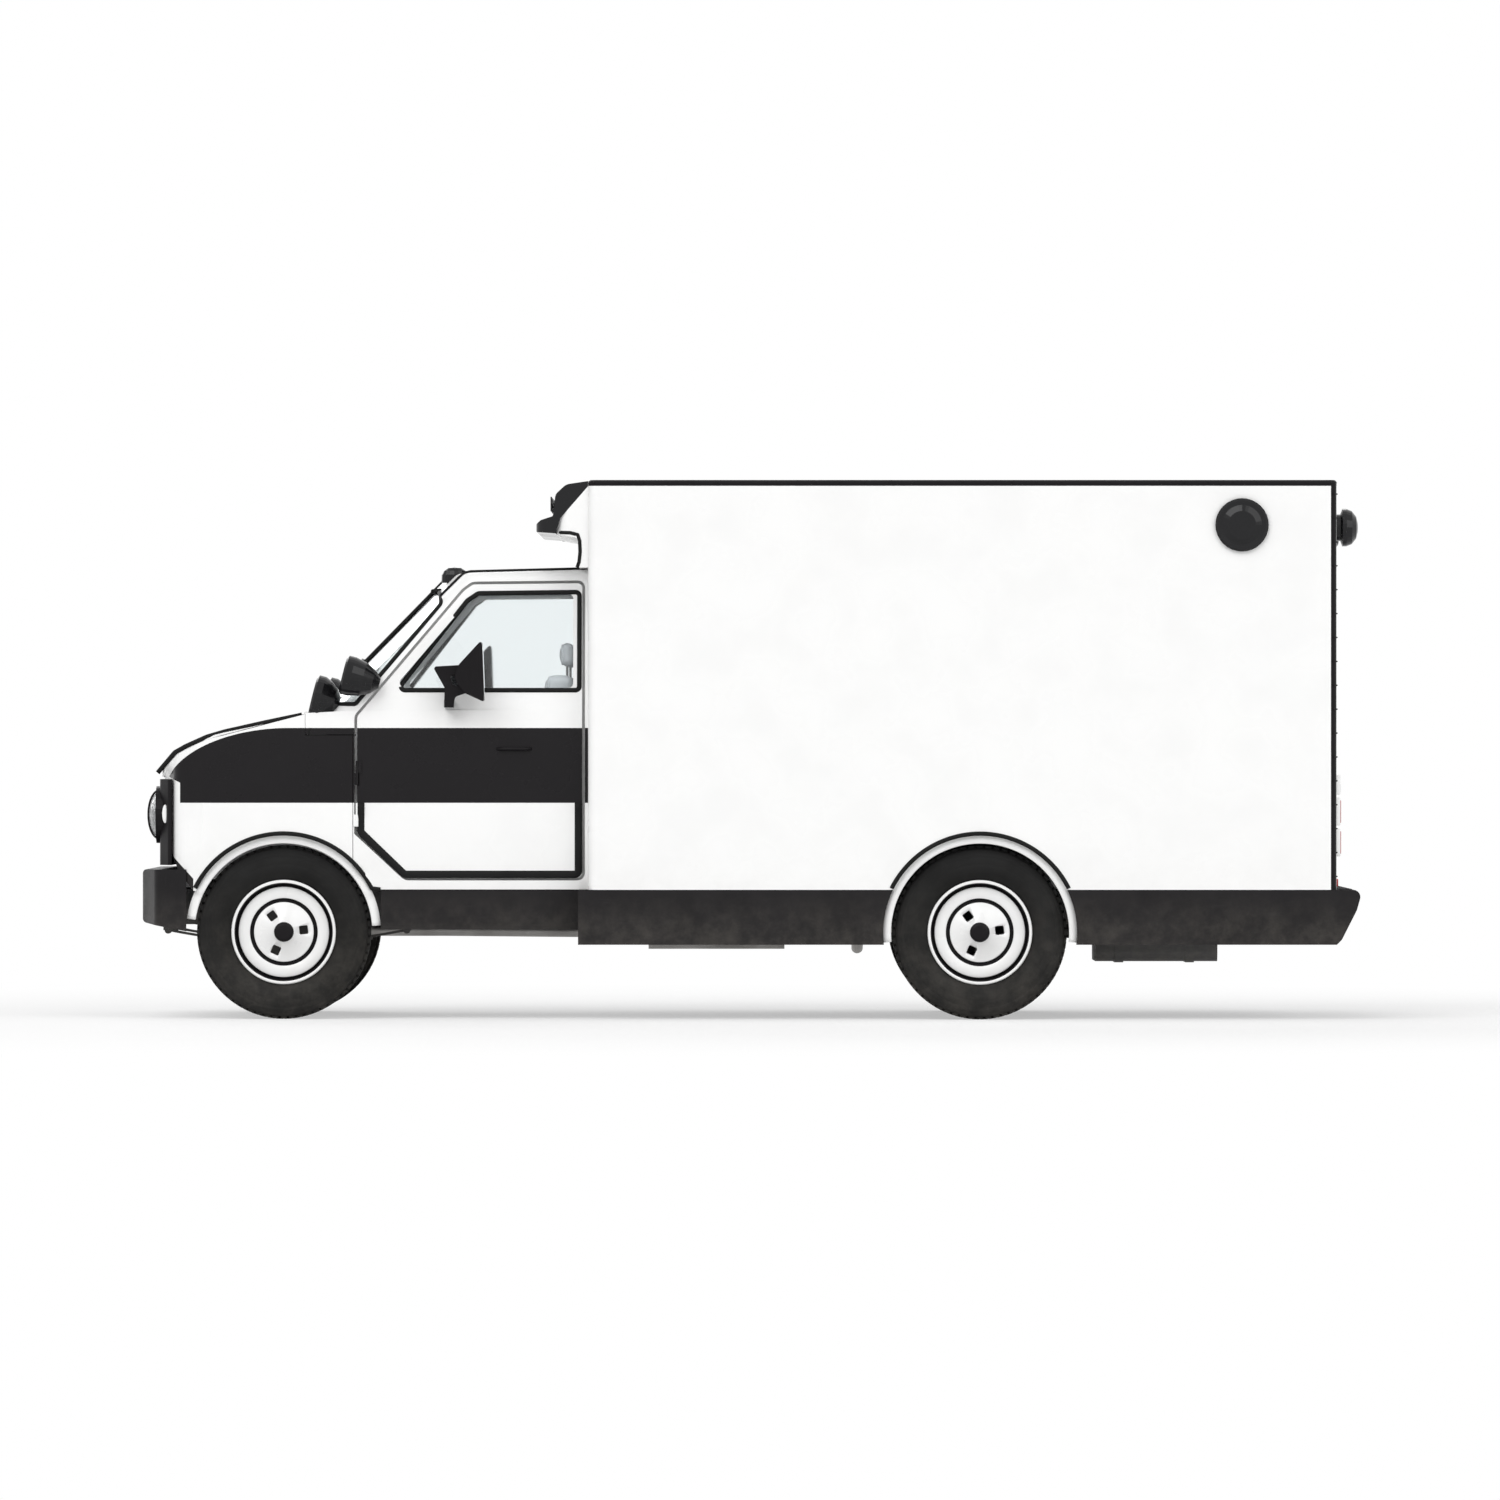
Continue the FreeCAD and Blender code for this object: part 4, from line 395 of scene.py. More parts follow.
def makeBandGroup():
    # 1 on the dark band along the fender and the door, 0 on the white around it
    b = bandSizes
    tree, given = newGroup("darkBand", ("Mask",))

    def calc(operation, first, second=None):
        return mathNode(tree, operation, first, second)

    x, y, z = put(tree, "ShaderNodeSeparateXYZ", {0: given["Vector"]}).outputs
    past = calc("MAXIMUM", calc("SUBTRACT", b["curveStart"], x), 0.0)
    share = calc("MINIMUM", calc("DIVIDE", past, b["curveLength"]), 1.0)
    left = calc("SQRT", calc("SUBTRACT", 1.0, calc("MULTIPLY", share, share)))
    drop = calc("MULTIPLY", calc("SUBTRACT", 1.0, left), b["curveDrop"])
    under = calc("LESS_THAN", z, calc("SUBTRACT", b["top"], drop))
    above = calc("GREATER_THAN", z, b["bottom"])
    reach = calc("MAXIMUM", calc("SUBTRACT", z, b["noseZ"]), 0.0)
    behind = calc("GREATER_THAN", x, calc("SUBTRACT", b["noseX"], calc("MULTIPLY", reach, b["noseSlope"])))
    beside = calc("ABSOLUTE", y)
    atNose = calc("MULTIPLY", calc("GREATER_THAN", beside, b["noseHalfWidth"]),
                  calc("LESS_THAN", x, b["noseStart"]))
    outside = calc("MAXIMUM", calc("GREATER_THAN", beside, b["halfWidth"]), atNose)
    side = calc("MULTIPLY", calc("MULTIPLY", calc("MULTIPLY", under, above), behind), outside)
    slant = calc("ADD", z, calc("MULTIPLY", x, b["valanceSlope"]))
    low = calc("MULTIPLY", calc("LESS_THAN", slant, b["valanceZ"]), calc("LESS_THAN", x, b["valanceX"]))
    return endGroup(tree, Mask=calc("MAXIMUM", side, low))


groups = {
    "grain": makeGrainGroup(),
    "dust": makeDustGroup(),
    "scuff": makeScuffGroup(),
    "band": makeBandGroup(),
}


# finishes

white = (0.88, 0.88, 0.875)
ink = (0.008, 0.007, 0.008)
wear = {
    "dustColour": (0.34, 0.31, 0.27, 1),
    "dustRough": 0.4,
    "scuffRough": 0.2,
    "scuffLighter": 1.8,
    "coatRough": 0.06,
}


def placeGroup(tree, coord, name, **values):
    return put(tree, "ShaderNodeGroup", {"Vector": coord.outputs["Object"], **values}, node_tree=groups[name])


def mixColour(tree, mask, a, b):
    node = put(tree, "ShaderNodeMix", {"Factor": mask, "A": a, "B": b}, data_type="RGBA")
    return node.outputs["Result"]


def mixShaders(tree, mask, first, second, out):
    # the first shader where the mask is 0, the second where it is 1
    mix = put(tree, "ShaderNodeMixShader", {0: mask, 1: first.outputs[0], 2: second.outputs[0]})
    tree.links.new(mix.outputs[0], out.inputs["Surface"])


def blank(name):
    material = bpy.data.materials.new(name)
    material.use_nodes = True
    tree = material.node_tree
    tree.nodes.clear()
    shader = tree.nodes.new("ShaderNodeBsdfPrincipled")
    out = put(tree, "ShaderNodeOutputMaterial", {"Surface": shader.outputs[0]})
    return material, tree, shader, tree.nodes.new("ShaderNodeTexCoord"), out


def bump(tree, shader, height, strength, distance):
    node = put(tree, "ShaderNodeBump", {"Strength": strength, "Distance": distance, "Height": height})
    tree.links.new(node.outputs[0], shader.inputs["Normal"])


def finish(name, colour, rough, metal=0.0, coat=0.0, grain=(400.0, 0.15, 0.0006), vary=0.06, dust=None,
           scuff=None, spread=0.08, banded=False, gloss=0.5):
    # colour with slow variation, uneven gloss, grain, dust from below and rubbed streaks
    material, tree, shader, coord, _ = blank(name)
    grained = placeGroup(tree, coord, "grain", Scale=grain[0]).outputs
    darker = tuple(c * (1 - vary) for c in colour) + (1,)
    tone = mixColour(tree, grained["Mask"], colour + (1,), darker)
    if banded:
        tone = mixColour(tree, placeGroup(tree, coord, "band").outputs["Mask"], tone, ink + (1,))
    smoothest = max(rough - spread / 2, 0.02)
    roughness = rangeNode(tree, grained["Mask"], 0.0, 1.0, smoothest, rough + spread / 2)

    def worn(mask, added):
        return mathNode(tree, "ADD", roughness, mathNode(tree, "MULTIPLY", mask, added))

    if scuff:
        mask = placeGroup(tree, coord, "scuff", Scale=scuff[0], Amount=scuff[1]).outputs["Mask"]
        lighter = tuple(min(c * wear["scuffLighter"] + 0.05, 1) for c in colour) + (1,)
        tone = mixColour(tree, mask, tone, lighter)
        roughness = worn(mask, wear["scuffRough"])
    if dust:
        mask = placeGroup(tree, coord, "dust", Low=dust[0], High=dust[1], Amount=dust[2]).outputs["Mask"]
        tone = mixColour(tree, mask, tone, wear["dustColour"])
        roughness = worn(mask, wear["dustRough"])
    tree.links.new(tone, shader.inputs["Base Color"])
    tree.links.new(roughness, shader.inputs["Roughness"])
    shader.inputs["Metallic"].default_value = metal
    shader.inputs["Coat Weight"].default_value = coat
    shader.inputs["Coat Roughness"].default_value = wear["coatRough"]
    shader.inputs["Specular IOR Level"].default_value = gloss
    bump(tree, shader, grained["Height"], grain[1], grain[2])
    return material


def glassFinish(name, tint, ribs=0.0):
    # glass that lets lamp light through as thin glass does
    material, tree, shader, coord, out = blank(name)
    shader.inputs["Base Color"].default_value = tint + (1,)
    shader.inputs["Transmission Weight"].default_value = 1.0
    shader.inputs["IOR"].default_value = 1.45
    grained = placeGroup(tree, coord, "grain", Scale=30.0)
    uneven = rangeNode(tree, grained.outputs["Mask"], 0.0, 1.0, 0.02, 0.05)
    tree.links.new(uneven, shader.inputs["Roughness"])
    if ribs:
        given = {"Scale": ribs, "Vector": coord.outputs["Object"]}
        wave = put(tree, "ShaderNodeTexWave", given, bands_direction="Y")
        bump(tree, shader, wave.outputs["Fac"], 0.5, 0.002)
    path = tree.nodes.new("ShaderNodeLightPath")
    clear = put(tree, "ShaderNodeBsdfTransparent", {"Color": tuple(0.15 + 0.8 * c for c in tint) + (1,)})
    mixShaders(tree, path.outputs["Is Shadow Ray"], shader, clear, out)
    return material


def patternFinish(name, colour, rough, pattern, scale, height, **more):
    # a finish whose bump is a regular pattern: coin rubber, fins or prisms
    material = finish(name, colour, rough, **more)
    tree = material.node_tree
    found = {node.type: node for node in tree.nodes}
    given = {"Scale": scale, "Vector": found["TEX_COORD"].outputs["Object"]}
    if pattern == "coins":
        node = put(tree, "ShaderNodeTexVoronoi", {**given, "Randomness": 0.0})
        value = rangeNode(tree, node.outputs["Distance"], 0.28, 0.34, 1.0, 0.0)
    else:
        value = put(tree, "ShaderNodeTexWave", given, bands_direction=pattern).outputs["Fac"]
    second = put(tree, "ShaderNodeBump",
                 {"Strength": 0.8, "Distance": height, "Height": value, "Normal": found["BUMP"].outputs[0]})
    tree.links.new(second.outputs[0], found["BSDF_PRINCIPLED"].inputs["Normal"])
    return material


bodyPaint = {"coat": 0.08, "gloss": 0.14, "grain": (900.0, 0.05, 0.0003), "vary": 0.03,
             "dust": (0.45, 1.0, 0.10)}
finishes = {
    "bodyWhite": finish("bodyWhite", white, 0.3, **bodyPaint),
    "cabWhite": finish("cabWhite", white, 0.3, banded=True, **bodyPaint),
    "trimBlack": finish("trimBlack", ink, 0.42, grain=(700.0, 0.3, 0.0006), gloss=0.12, vary=0.2,
                        scuff=(5.0, 0.05)),
    "bumperBlack": finish("bumperBlack", (0.014, 0.013, 0.014), 0.5, grain=(420.0, 0.5, 0.001), gloss=0.12,
                          vary=0.2, dust=(0.35, 0.7, 0.12), scuff=(4.0, 0.08)),
    "sealRubber": finish("sealRubber", (0.010, 0.010, 0.010), 0.62, grain=(300.0, 0.3, 0.0005), gloss=0.12,
                         vary=0.2),
    "framePaint": finish("framePaint", (0.035, 0.035, 0.037), 0.5, grain=(250.0, 0.4, 0.001), vary=0.25,
                         dust=(0.2, 0.9, 0.35), scuff=(9.0, 0.25)),
    "bareSteel": finish("bareSteel", (0.38, 0.37, 0.36), 0.42, metal=0.9, grain=(350.0, 0.4, 0.0008),
                        vary=0.35, dust=(0.2, 0.8, 0.3), scuff=(8.0, 0.4)),
    "engineIron": finish("engineIron", (0.16, 0.155, 0.15), 0.6, metal=0.6, grain=(160.0, 0.8, 0.002),
                         vary=0.3),
    "radiatorAlloy": patternFinish("radiatorAlloy", (0.3, 0.3, 0.31), 0.45, "Z", 60.0, 0.002, metal=0.8),
    "tankSteel": finish("tankSteel", (0.07, 0.07, 0.07), 0.45, grain=(300.0, 0.3, 0.0008), vary=0.2,
                        dust=(0.2, 0.6, 0.35)),
    "wheelWhite": finish("wheelWhite", (0.86, 0.86, 0.855), 0.3, coat=0.3, grain=(600.0, 0.1, 0.0003),
                         vary=0.04, dust=(0.1, 0.75, 0.12)),
    # black for the hubs; in the rim's grooves, on the flank inside its flange and on the walls of its
    # openings it is painted shade
    "wheelBlackAndShade": finish("wheelBlackAndShade", ink, 0.45, grain=(500.0, 0.3, 0.0005), gloss=0.12, vary=0.2),
    "tyreRubber": finish("tyreRubber", (0.013, 0.013, 0.013), 0.7, grain=(260.0, 0.5, 0.0008), gloss=0.12,
                         vary=0.3, dust=(0.0, 0.9, 0.10)),
    "lampBlack": finish("lampBlack", (0.008, 0.008, 0.009), 0.16, coat=0.15, gloss=0.2,
                        grain=(300.0, 0.05, 0.0003), vary=0.1),
    "reflector": finish("reflector", (0.9, 0.9, 0.9), 0.12, metal=1.0, grain=(90.0, 0.1, 0.001), vary=0.05),
    "redLens": patternFinish("redLens", (0.42, 0.012, 0.012), 0.14, "Y", 90.0, 0.0008, coat=0.6),
    "clearLens": glassFinish("clearLens", (0.96, 0.97, 0.98), ribs=40.0),
    "windowGlass": glassFinish("windowGlass", (0.93, 0.96, 0.965)),
    "mirrorGlass": finish("mirrorGlass", (0.85, 0.87, 0.88), 0.03, metal=1.0, grain=(20.0, 0.02, 0.0005),
                          vary=0.03),
    "dashPlastic": finish("dashPlastic", (0.48, 0.48, 0.49), 0.6, grain=(520.0, 0.6, 0.001), vary=0.12),
    "wheelPlastic": finish("wheelPlastic", (0.06, 0.06, 0.062), 0.42, grain=(900.0, 0.4, 0.0006), vary=0.15),
    "seatVinyl": finish("seatVinyl", (0.60, 0.61, 0.63), 0.5, grain=(330.0, 0.7, 0.0012), vary=0.14,
                        scuff=(7.0, 0.08)),
    "benchVinyl": finish("benchVinyl", (0.42, 0.46, 0.53), 0.42, grain=(300.0, 0.6, 0.001), vary=0.12),
    "floorRubber": patternFinish("floorRubber", (0.19, 0.20, 0.21), 0.6, "coins", 34.0, 0.0015,
                                 scuff=(5.0, 0.12)),
    "lockerLaminate": finish("lockerLaminate", (0.74, 0.74, 0.72), 0.38, grain=(220.0, 0.15, 0.0005),
                             vary=0.06),
    "edgeAlloy": finish("edgeAlloy", (0.62, 0.62, 0.63), 0.34, metal=0.9, grain=(240.0, 0.3, 0.0005),
                        vary=0.12, scuff=(12.0, 0.25)),
}
print("finishes made:", len(finishes))

finishOfSlot = {
    "white_paint": "bodyWhite", "black_trim": "trimBlack", "black_bumper": "bumperBlack",
    "frame_paint": "framePaint", "bare_steel": "bareSteel", "engine_iron": "engineIron",
    "radiator_alloy": "radiatorAlloy", "tank_steel": "tankSteel", "window_glass": "windowGlass",
    "wheel_paint": "wheelWhite", "tyre_rubber": "tyreRubber", "lamp_black": "lampBlack",
    "lamp_clear": "clearLens", "lamp_amber": "lampBlack", "lamp_red": "redLens",
    "dash_plastic": "dashPlastic", "wheel_plastic": "wheelPlastic", "seat_vinyl": "seatVinyl",
    "floor_lining": "floorRubber", "locker_laminate": "lockerLaminate", "bench_vinyl": "benchVinyl",
}
ownFinish = {
    "front_light_bar": "lampBlack", "head_lamps": "trimBlack", "cab_shell": "cabWhite",
    "front_clip": "cabWhite", "cab_door_left": "cabWhite", "cab_door_right": "cabWhite",
}


def coverNodes():
    # every carried-over node gets its own finish or that of its slot
    for entry in frame["record"]["subparts"]:
        name = entry["node"]
        materials = nodes[name].data.materials
        materials.clear()
        materials.append(finishes[ownFinish.get(name, finishOfSlot[entry["material_slot"]])])


coverNodes()
print("nodes covered")


# geometry node trees for what repeats

def newTree(name, **inputs):
    # a geometry tree; each input's first value gives its kind
    kinds = {int: "NodeSocketInt", float: "NodeSocketFloat", tuple: "NodeSocketVector"}
    tree = bpy.data.node_groups.new(name, "GeometryNodeTree")
    socket = tree.interface.new_socket
    socket("Geometry", in_out="INPUT", socket_type="NodeSocketGeometry")
    for label, value in inputs.items():
        socket(label, in_out="INPUT", socket_type=kinds[type(value)]).default_value = value
    socket("Geometry", in_out="OUTPUT", socket_type="NodeSocketGeometry")
    return tree, tree.nodes.new("NodeGroupInput").outputs


def endTree(tree, geometry, material):
    real = put(tree, "GeometryNodeRealizeInstances", {0: geometry})
    paint = put(tree, "GeometryNodeSetMaterial", {"Geometry": real.outputs[0], "Material": material})
    put(tree, "NodeGroupOutput", {0: paint.outputs[0]})
    return tree


def runTree(name, tree, mesh, material, **values):
    # runs a tree on a mesh with these inputs and keeps the result as a plain piece
    piece = newObject(name, mesh)
    modifier = piece.modifiers.new("nodes", "NODES")
    modifier.node_group = tree
    for item in tree.interface.items_tree:
        if item.in_out == "INPUT" and item.name in values:
            modifier[item.identifier] = values[item.name]
    made = evaluated(piece)
    piece.modifiers.clear()
    piece.data = made
    made.materials.clear()
    made.materials.append(material)
    return piece


def makeTreadTree(material):
    # a ring of blocks about Z: count, radius, and each block's height, length and width
    tree, given = newTree("treadBlocks", Count=48, Radius=0.43, Height=0.01, Length=0.03, Width=0.03,
                          Turn=0.0)
    circle = put(tree, "GeometryNodeMeshCircle", {"Vertices": given["Count"], "Radius": given["Radius"]})
    size = put(tree, "ShaderNodeCombineXYZ", {0: given["Height"], 1: given["Length"], 2: given["Width"]})
    cube = put(tree, "GeometryNodeMeshCube", {"Size": size.outputs[0]})
    where = tree.nodes.new("GeometryNodeInputPosition")
    along = put(tree, "FunctionNodeAlignRotationToVector", {"Vector": where.outputs[0]},
                axis="X", pivot_axis="Z")
    place = put(tree, "GeometryNodeInstanceOnPoints",
                {"Points": circle.outputs[0], "Instance": cube.outputs[0], "Rotation": along.outputs[0]})
    angle = put(tree, "ShaderNodeCombineXYZ", {2: given["Turn"]})
    turn = put(tree, "GeometryNodeTransform", {"Geometry": place.outputs[0], "Rotation": angle.outputs[0]})
    return endTree(tree, turn.outputs[0], material)


def makeEdgeTree(name, kind, label, first, material, **fixed):
    # one small form spaced along the edges of a mesh, always the same way round
    tree, given = newTree(name, Spacing=0.1, **{label: first})
    curve = put(tree, "GeometryNodeMeshToCurve", {"Mesh": given["Geometry"]})
    sample = put(tree, "GeometryNodeResampleCurve", mode="LENGTH")
    tree.links.new(curve.outputs[0], sample.inputs["Curve"])
    tree.links.new(given["Spacing"], sample.inputs["Length"])
    form = put(tree, kind, {label: given[label], **fixed})
    place = put(tree, "GeometryNodeInstanceOnPoints",
                {"Points": sample.outputs[0], "Instance": form.outputs[0]})
    return endTree(tree, place.outputs[0], material)


def edgeMesh(name, *lines):
    # a mesh of edges only, one run for each line of points
    bm = bmesh.new()
    for line in lines:
        verts = [bm.verts.new(p) for p in line]
        for a, b in zip(verts, verts[1:]):
            bm.edges.new((a, b))
    return meshOf(name, bm)


trees = {
    "tread": makeTreadTree(finishes["tyreRubber"]),
    "studs": makeEdgeTree("studsAlongEdges", "GeometryNodeMeshIcoSphere", "Radius", 0.005,
                          finishes["trimBlack"], Subdivisions=2),
    "bars": makeEdgeTree("barsAlongEdges", "GeometryNodeMeshCube", "Size", (0.01, 0.01, 0.01),
                         finishes["trimBlack"]),
}

# camera, light and floor

view = {"x": 0.0025, "z": 1.355, "near": -1.17, "distance": 62.75, "lens": 300.0, "sensor": 36.0,
        "clip": 300.0}
camera = newObject("camera", bpy.data.cameras.new("camera"))
camera.location = (view["x"], view["near"] - view["distance"], view["z"])
camera.rotation_euler = (math.radians(90), 0, 0)
camera.data.lens = view["lens"]
camera.data.sensor_width = view["sensor"]
camera.data.clip_end = view["clip"]
bpy.context.scene.camera = camera

lampSizes = {
    "sun": {"keyLamp": (1.35, (48, 0, -28)), "fillLamp": (0.75, (62, 0, 40)),
            "backLamp": (0.9, (-65, 0, 20))},
    "spreadDegrees": 45,
    "ambient": 0.5,
}


def makeLamp(name, strength, turn):
    lamp = bpy.data.lights.new(name, "SUN")
    lamp.energy = strength
    lamp.angle = math.radians(lampSizes["spreadDegrees"])
    newObject(name, lamp).rotation_euler = [math.radians(a) for a in turn]


for lampName, (strength, turn) in lampSizes["sun"].items():
    makeLamp(lampName, strength, turn)


def whiteForViews(tree):
    # 1 for rays from the camera, off a mirror or through glass
    path = tree.nodes.new("ShaderNodeLightPath").outputs
    seen = mathNode(tree, "MAXIMUM", path["Is Camera Ray"], path["Is Glossy Ray"])
    return mathNode(tree, "MAXIMUM", seen, path["Is Transmission Ray"])


def makeWorld():
    world = bpy.data.worlds.new("paleStudio")
    bpy.context.scene.world = world
    world.use_nodes = True
    tree = world.node_tree
    tree.nodes.clear()
    soft = put(tree, "ShaderNodeBackground", {"Color": (1, 1, 1, 1), "Strength": lampSizes["ambient"]})
    seen = put(tree, "ShaderNodeBackground", {"Color": (1, 1, 1, 1)})
    mixShaders(tree, whiteForViews(tree), soft, seen, tree.nodes.new("ShaderNodeOutputWorld"))


floorSizes = {"radius": 48.0, "shadowEnd": 4.5, "whiteStart": 9.0, "glowNear": 0.45}


def makeFloor():
    # pale floor that keeps the shadow close by and is plain white further out
    f = floorSizes
    bm = bmesh.new()
    bmesh.ops.create_circle(bm, cap_ends=True, radius=f["radius"], segments=96)
    floor = meshPiece("floor", bm, smooth=False)
    material, tree, shader, coord, out = blank("paleFloor")
    place = coord.outputs["Object"]
    noise = put(tree, "ShaderNodeTexNoise", {"Scale": 0.8, "Detail": 6.0, "Vector": place})
    tone = mixColour(tree, noise.outputs["Fac"], (0.92, 0.92, 0.92, 1), (0.88, 0.88, 0.88, 1))
    tree.links.new(tone, shader.inputs["Base Color"])
    shader.inputs["Roughness"].default_value = 0.9
    shader.inputs["Specular IOR Level"].default_value = 0.1
    length = put(tree, "ShaderNodeVectorMath", {0: place}, operation="LENGTH")
    far = rangeNode(tree, length.outputs["Value"], f["shadowEnd"], f["whiteStart"], f["glowNear"], 1.0)
    white = mathNode(tree, "MULTIPLY", far, whiteForViews(tree))
    mixShaders(tree, white, shader, tree.nodes.new("ShaderNodeEmission"), out)
    floor.data.materials.append(material)


makeWorld()
makeFloor()
print("camera, lamps and floor made")

# wheels

wheelSizes = {
    "centreZ": 0.438,
    "frontHub": (-2.347, 0.853),
    "rearX": 1.158,
    "rearY": (1.003, 0.713),
    "longHub": [(0.056, -0.29), (0.072, -0.285), (0.072, 0.02), (0.056, 0.02), (0.056, -0.29)],
    "steps": 96,
    "tyreRadius": 0.438,
    "holeHalf": 0.022,
    "holeRound": 0.007,
    "holeCircle": 0.100,
    "holeDepth": (0.004, 0.075),
    "holeAngles": (6, 126, 246),
    "treadCount": 64,
    "treadHeight": 0.0135,
    "treadRows": ((-0.080, 0.026), (-0.046, 0.032), (0.0, 0.046), (0.046, 0.032), (0.080, 0.026)),
    "middleBlock": (0.0004, 0.033),  # how far a row of blocks is sunk, and a block's length
    "edgeBlock": (0.002, 0.029),
    "edgeRow": 0.07,
}
rimFace = [  # radius, distance outwards and finish of the stretch that follows: 0 white, 1 black; the black in the two grooves and on the flank inside the flange is painted shade
    (0.0, 0.0835, 1), (0.030, 0.084, 1), (0.042, 0.083, 1), (0.0465, 0.079, 1), (0.049, 0.063, 1),
    (0.050, 0.060, 0), (0.146, 0.060, 0), (0.1505, 0.0575, 1), (0.1525, 0.046, 1), (0.155, 0.044, 1),
    (0.165, 0.044, 1), (0.168, 0.046, 1), (0.1705, 0.059, 0), (0.174, 0.062, 0), (0.224, 0.062, 0),
    (0.2280, 0.060, 1), (0.2305, 0.046, 1), (0.233, 0.044, 1), (0.238, 0.044, 1), (0.240, 0.048, 1),
    (0.2455, 0.092, 1), (0.248, 0.0965, 0), (0.254, 0.0985, 0), (0.260, 0.098, 0), (0.2635, 0.094, 0),
    (0.262, 0.089, 0), (0.246, 0.087, 0), (0.246, 0.036, 0), (0.212, 0.024, 0), (0.212, -0.044, 0),
    (0.246, -0.062, 0), (0.246, -0.087, 0), (0.262, -0.089, 0), (0.2625, -0.095, 0), (0.256, -0.098, 0),
    (0.240, -0.096, 0), (0.203, -0.048, 0), (0.203, 0.028, 0), (0.060, 0.028, 0), (0.058, 0.008, 0),
    (0.034, 0.008, 0), (0.034, 0.056, 1), (0.0, 0.056, 1),
]
tyreFace = [
    (0.246, 0.0865), (0.255, 0.088), (0.266, 0.0885), (0.272, 0.094), (0.276, 0.1015), (0.281, 0.104),
    (0.287, 0.1085), (0.300, 0.1165), (0.312, 0.1215), (0.325, 0.1240), (0.340, 0.1245), (0.3425, 0.1235),
    (0.3450, 0.1240), (0.360, 0.1225), (0.378, 0.1195), (0.3805, 0.1180), (0.383, 0.1185), (0.400, 0.1150),
    (0.4035, 0.1110), (0.410, 0.1095), (0.421, 0.1010), (0.4235, 0.0930), (0.4243, 0.060), (0.4246, 0.0),
]
tyreCore = [(0.280, -0.084), (0.408, -0.084), (0.408, 0.084), (0.280, 0.084)]


def makeWheelFace():
    # the wheel about Y, facing +Y, with its three rounded openings cut through; their walls take the black
    # finish as painted shade
    s = wheelSizes
    bm = bmesh.new()
    profile = [(r, w) for r, w, _ in rimFace + rimFace[:1]]
    addSpun(bm, profile, s["steps"], alongY(0, 0, 0), [k for _, _, k in rimFace])
    rim = meshPiece("rimForm", bm, finishes["wheelWhite"], finishes["wheelBlackAndShade"])
    half = s["holeHalf"]
    flat = roundedRect((-half, -half), (half, half), s["holeRound"])
    cutters = bmesh.new()
    for angle in s["holeAngles"]:
        turn = Matrix.Rotation(math.radians(-angle), 4, "Y")
        bridge(cutters, [[cutters.verts.new(turn @ Vector((s["holeCircle"] + p.x, w, p.y))) for p in flat]
                         for w in s["holeDepth"]])
    # the cutter's black finish goes onto the openings' walls as painted shade
    tool = meshPiece("holeTool", cutters, finishes["wheelBlackAndShade"], smooth=False)
    cut = rim.modifiers.new("holes", "BOOLEAN")
    cut.operation = "DIFFERENCE"
    cut.solver = "EXACT"
    cut.object = tool
    cut.material_mode = "TRANSFER"
    plain(rim)
    bpy.data.objects.remove(tool)
    return rim


def makeTyreForm():
    # the carcass with its rows of tread blocks
    s = wheelSizes
    inner = [(r, -w) for r, w in reversed(tyreFace[:-1])]
    bm = bmesh.new()
    addSpun(bm, tyreFace + inner + tyreCore + tyreFace[:1], s["steps"], alongY(0, 0, 0))
    parts = [meshPiece("carcass", bm, finishes["tyreRubber"])]
    for i, (offset, width) in enumerate(s["treadRows"]):
        sunk, length = s["middleBlock"] if abs(offset) < s["edgeRow"] else s["edgeBlock"]
        ring = runTree("treadRing", trees["tread"], edgeMesh("seed", [(0, 0, 0), (1, 0, 0)]),
                       finishes["tyreRubber"], Count=s["treadCount"], Height=s["treadHeight"],
                       Radius=s["tyreRadius"] - s["treadHeight"] / 2 - sunk, Length=length, Width=width,
                       Turn=math.pi / s["treadCount"] * (i % 2))
        ring.data.transform(Matrix.Rotation(math.radians(90), 4, "X"))
        ring.data.transform(Matrix.Translation((0, offset, 0)))
        parts.append(ring)
    return joined("tyreForm", parts)


def placedCopy(form, name, x, y, side, turned=False):
    # a copy of a wheel form at a hub; turned faces it inwards
    mesh = form.data.copy()
    facing = -side if turned else side
    if facing < 0:
        mesh.transform(Matrix.Rotation(math.pi, 4, "Z"))
        mesh.transform(Matrix.Diagonal((-1, 1, 1, 1)))
        mesh.flip_normals()
    mesh.transform(Matrix.Translation((x, y, wheelSizes["centreZ"])))
    return newObject(name, mesh)


def makeWheels():
    s = wheelSizes
    rim = makeWheelFace()
    tyre = makeTyreForm()
    frontX, frontY = s["frontHub"]
    rearX, (outerY, innerY) = s["rearX"], s["rearY"]
    for side, word in bothSides:
        made = placedCopy(rim, "frontWheelRim." + word, frontX, frontY * side, side)
        settle(made, "front_wheel_" + word, "wheel_paint", "front_rim_" + word)
        made = placedCopy(tyre, "frontTyre." + word, frontX, frontY * side, side)
        settle(made, "front_wheel_" + word, "tyre_rubber", "front_tyre_" + word)
        hub = bmesh.new()
        addSpun(hub, s["longHub"], 48, alongY(rearX, outerY * side, s["centreZ"], side))
        parts = [placedCopy(rim, "outerRim", rearX, outerY * side, side),
                 placedCopy(rim, "innerRim", rearX, innerY * side, side, turned=True),
                 meshPiece("longHub", hub, finishes["wheelBlackAndShade"])]
        made = joined("rearWheelRims." + word, parts)
        settle(made, "rear_wheels_" + word, "wheel_paint", "rear_rims_" + word)
        parts = [placedCopy(tyre, "rearTyre", rearX, y * side, side) for y in (outerY, innerY)]
        made = joined("rearTyres." + word, parts)
        settle(made, "rear_wheels_" + word, "tyre_rubber", "rear_tyres_" + word)
    bpy.data.objects.remove(rim)
    bpy.data.objects.remove(tyre)


makeWheels()
print("wheels made")

# rubber and black trim round the cab's openings and the arches

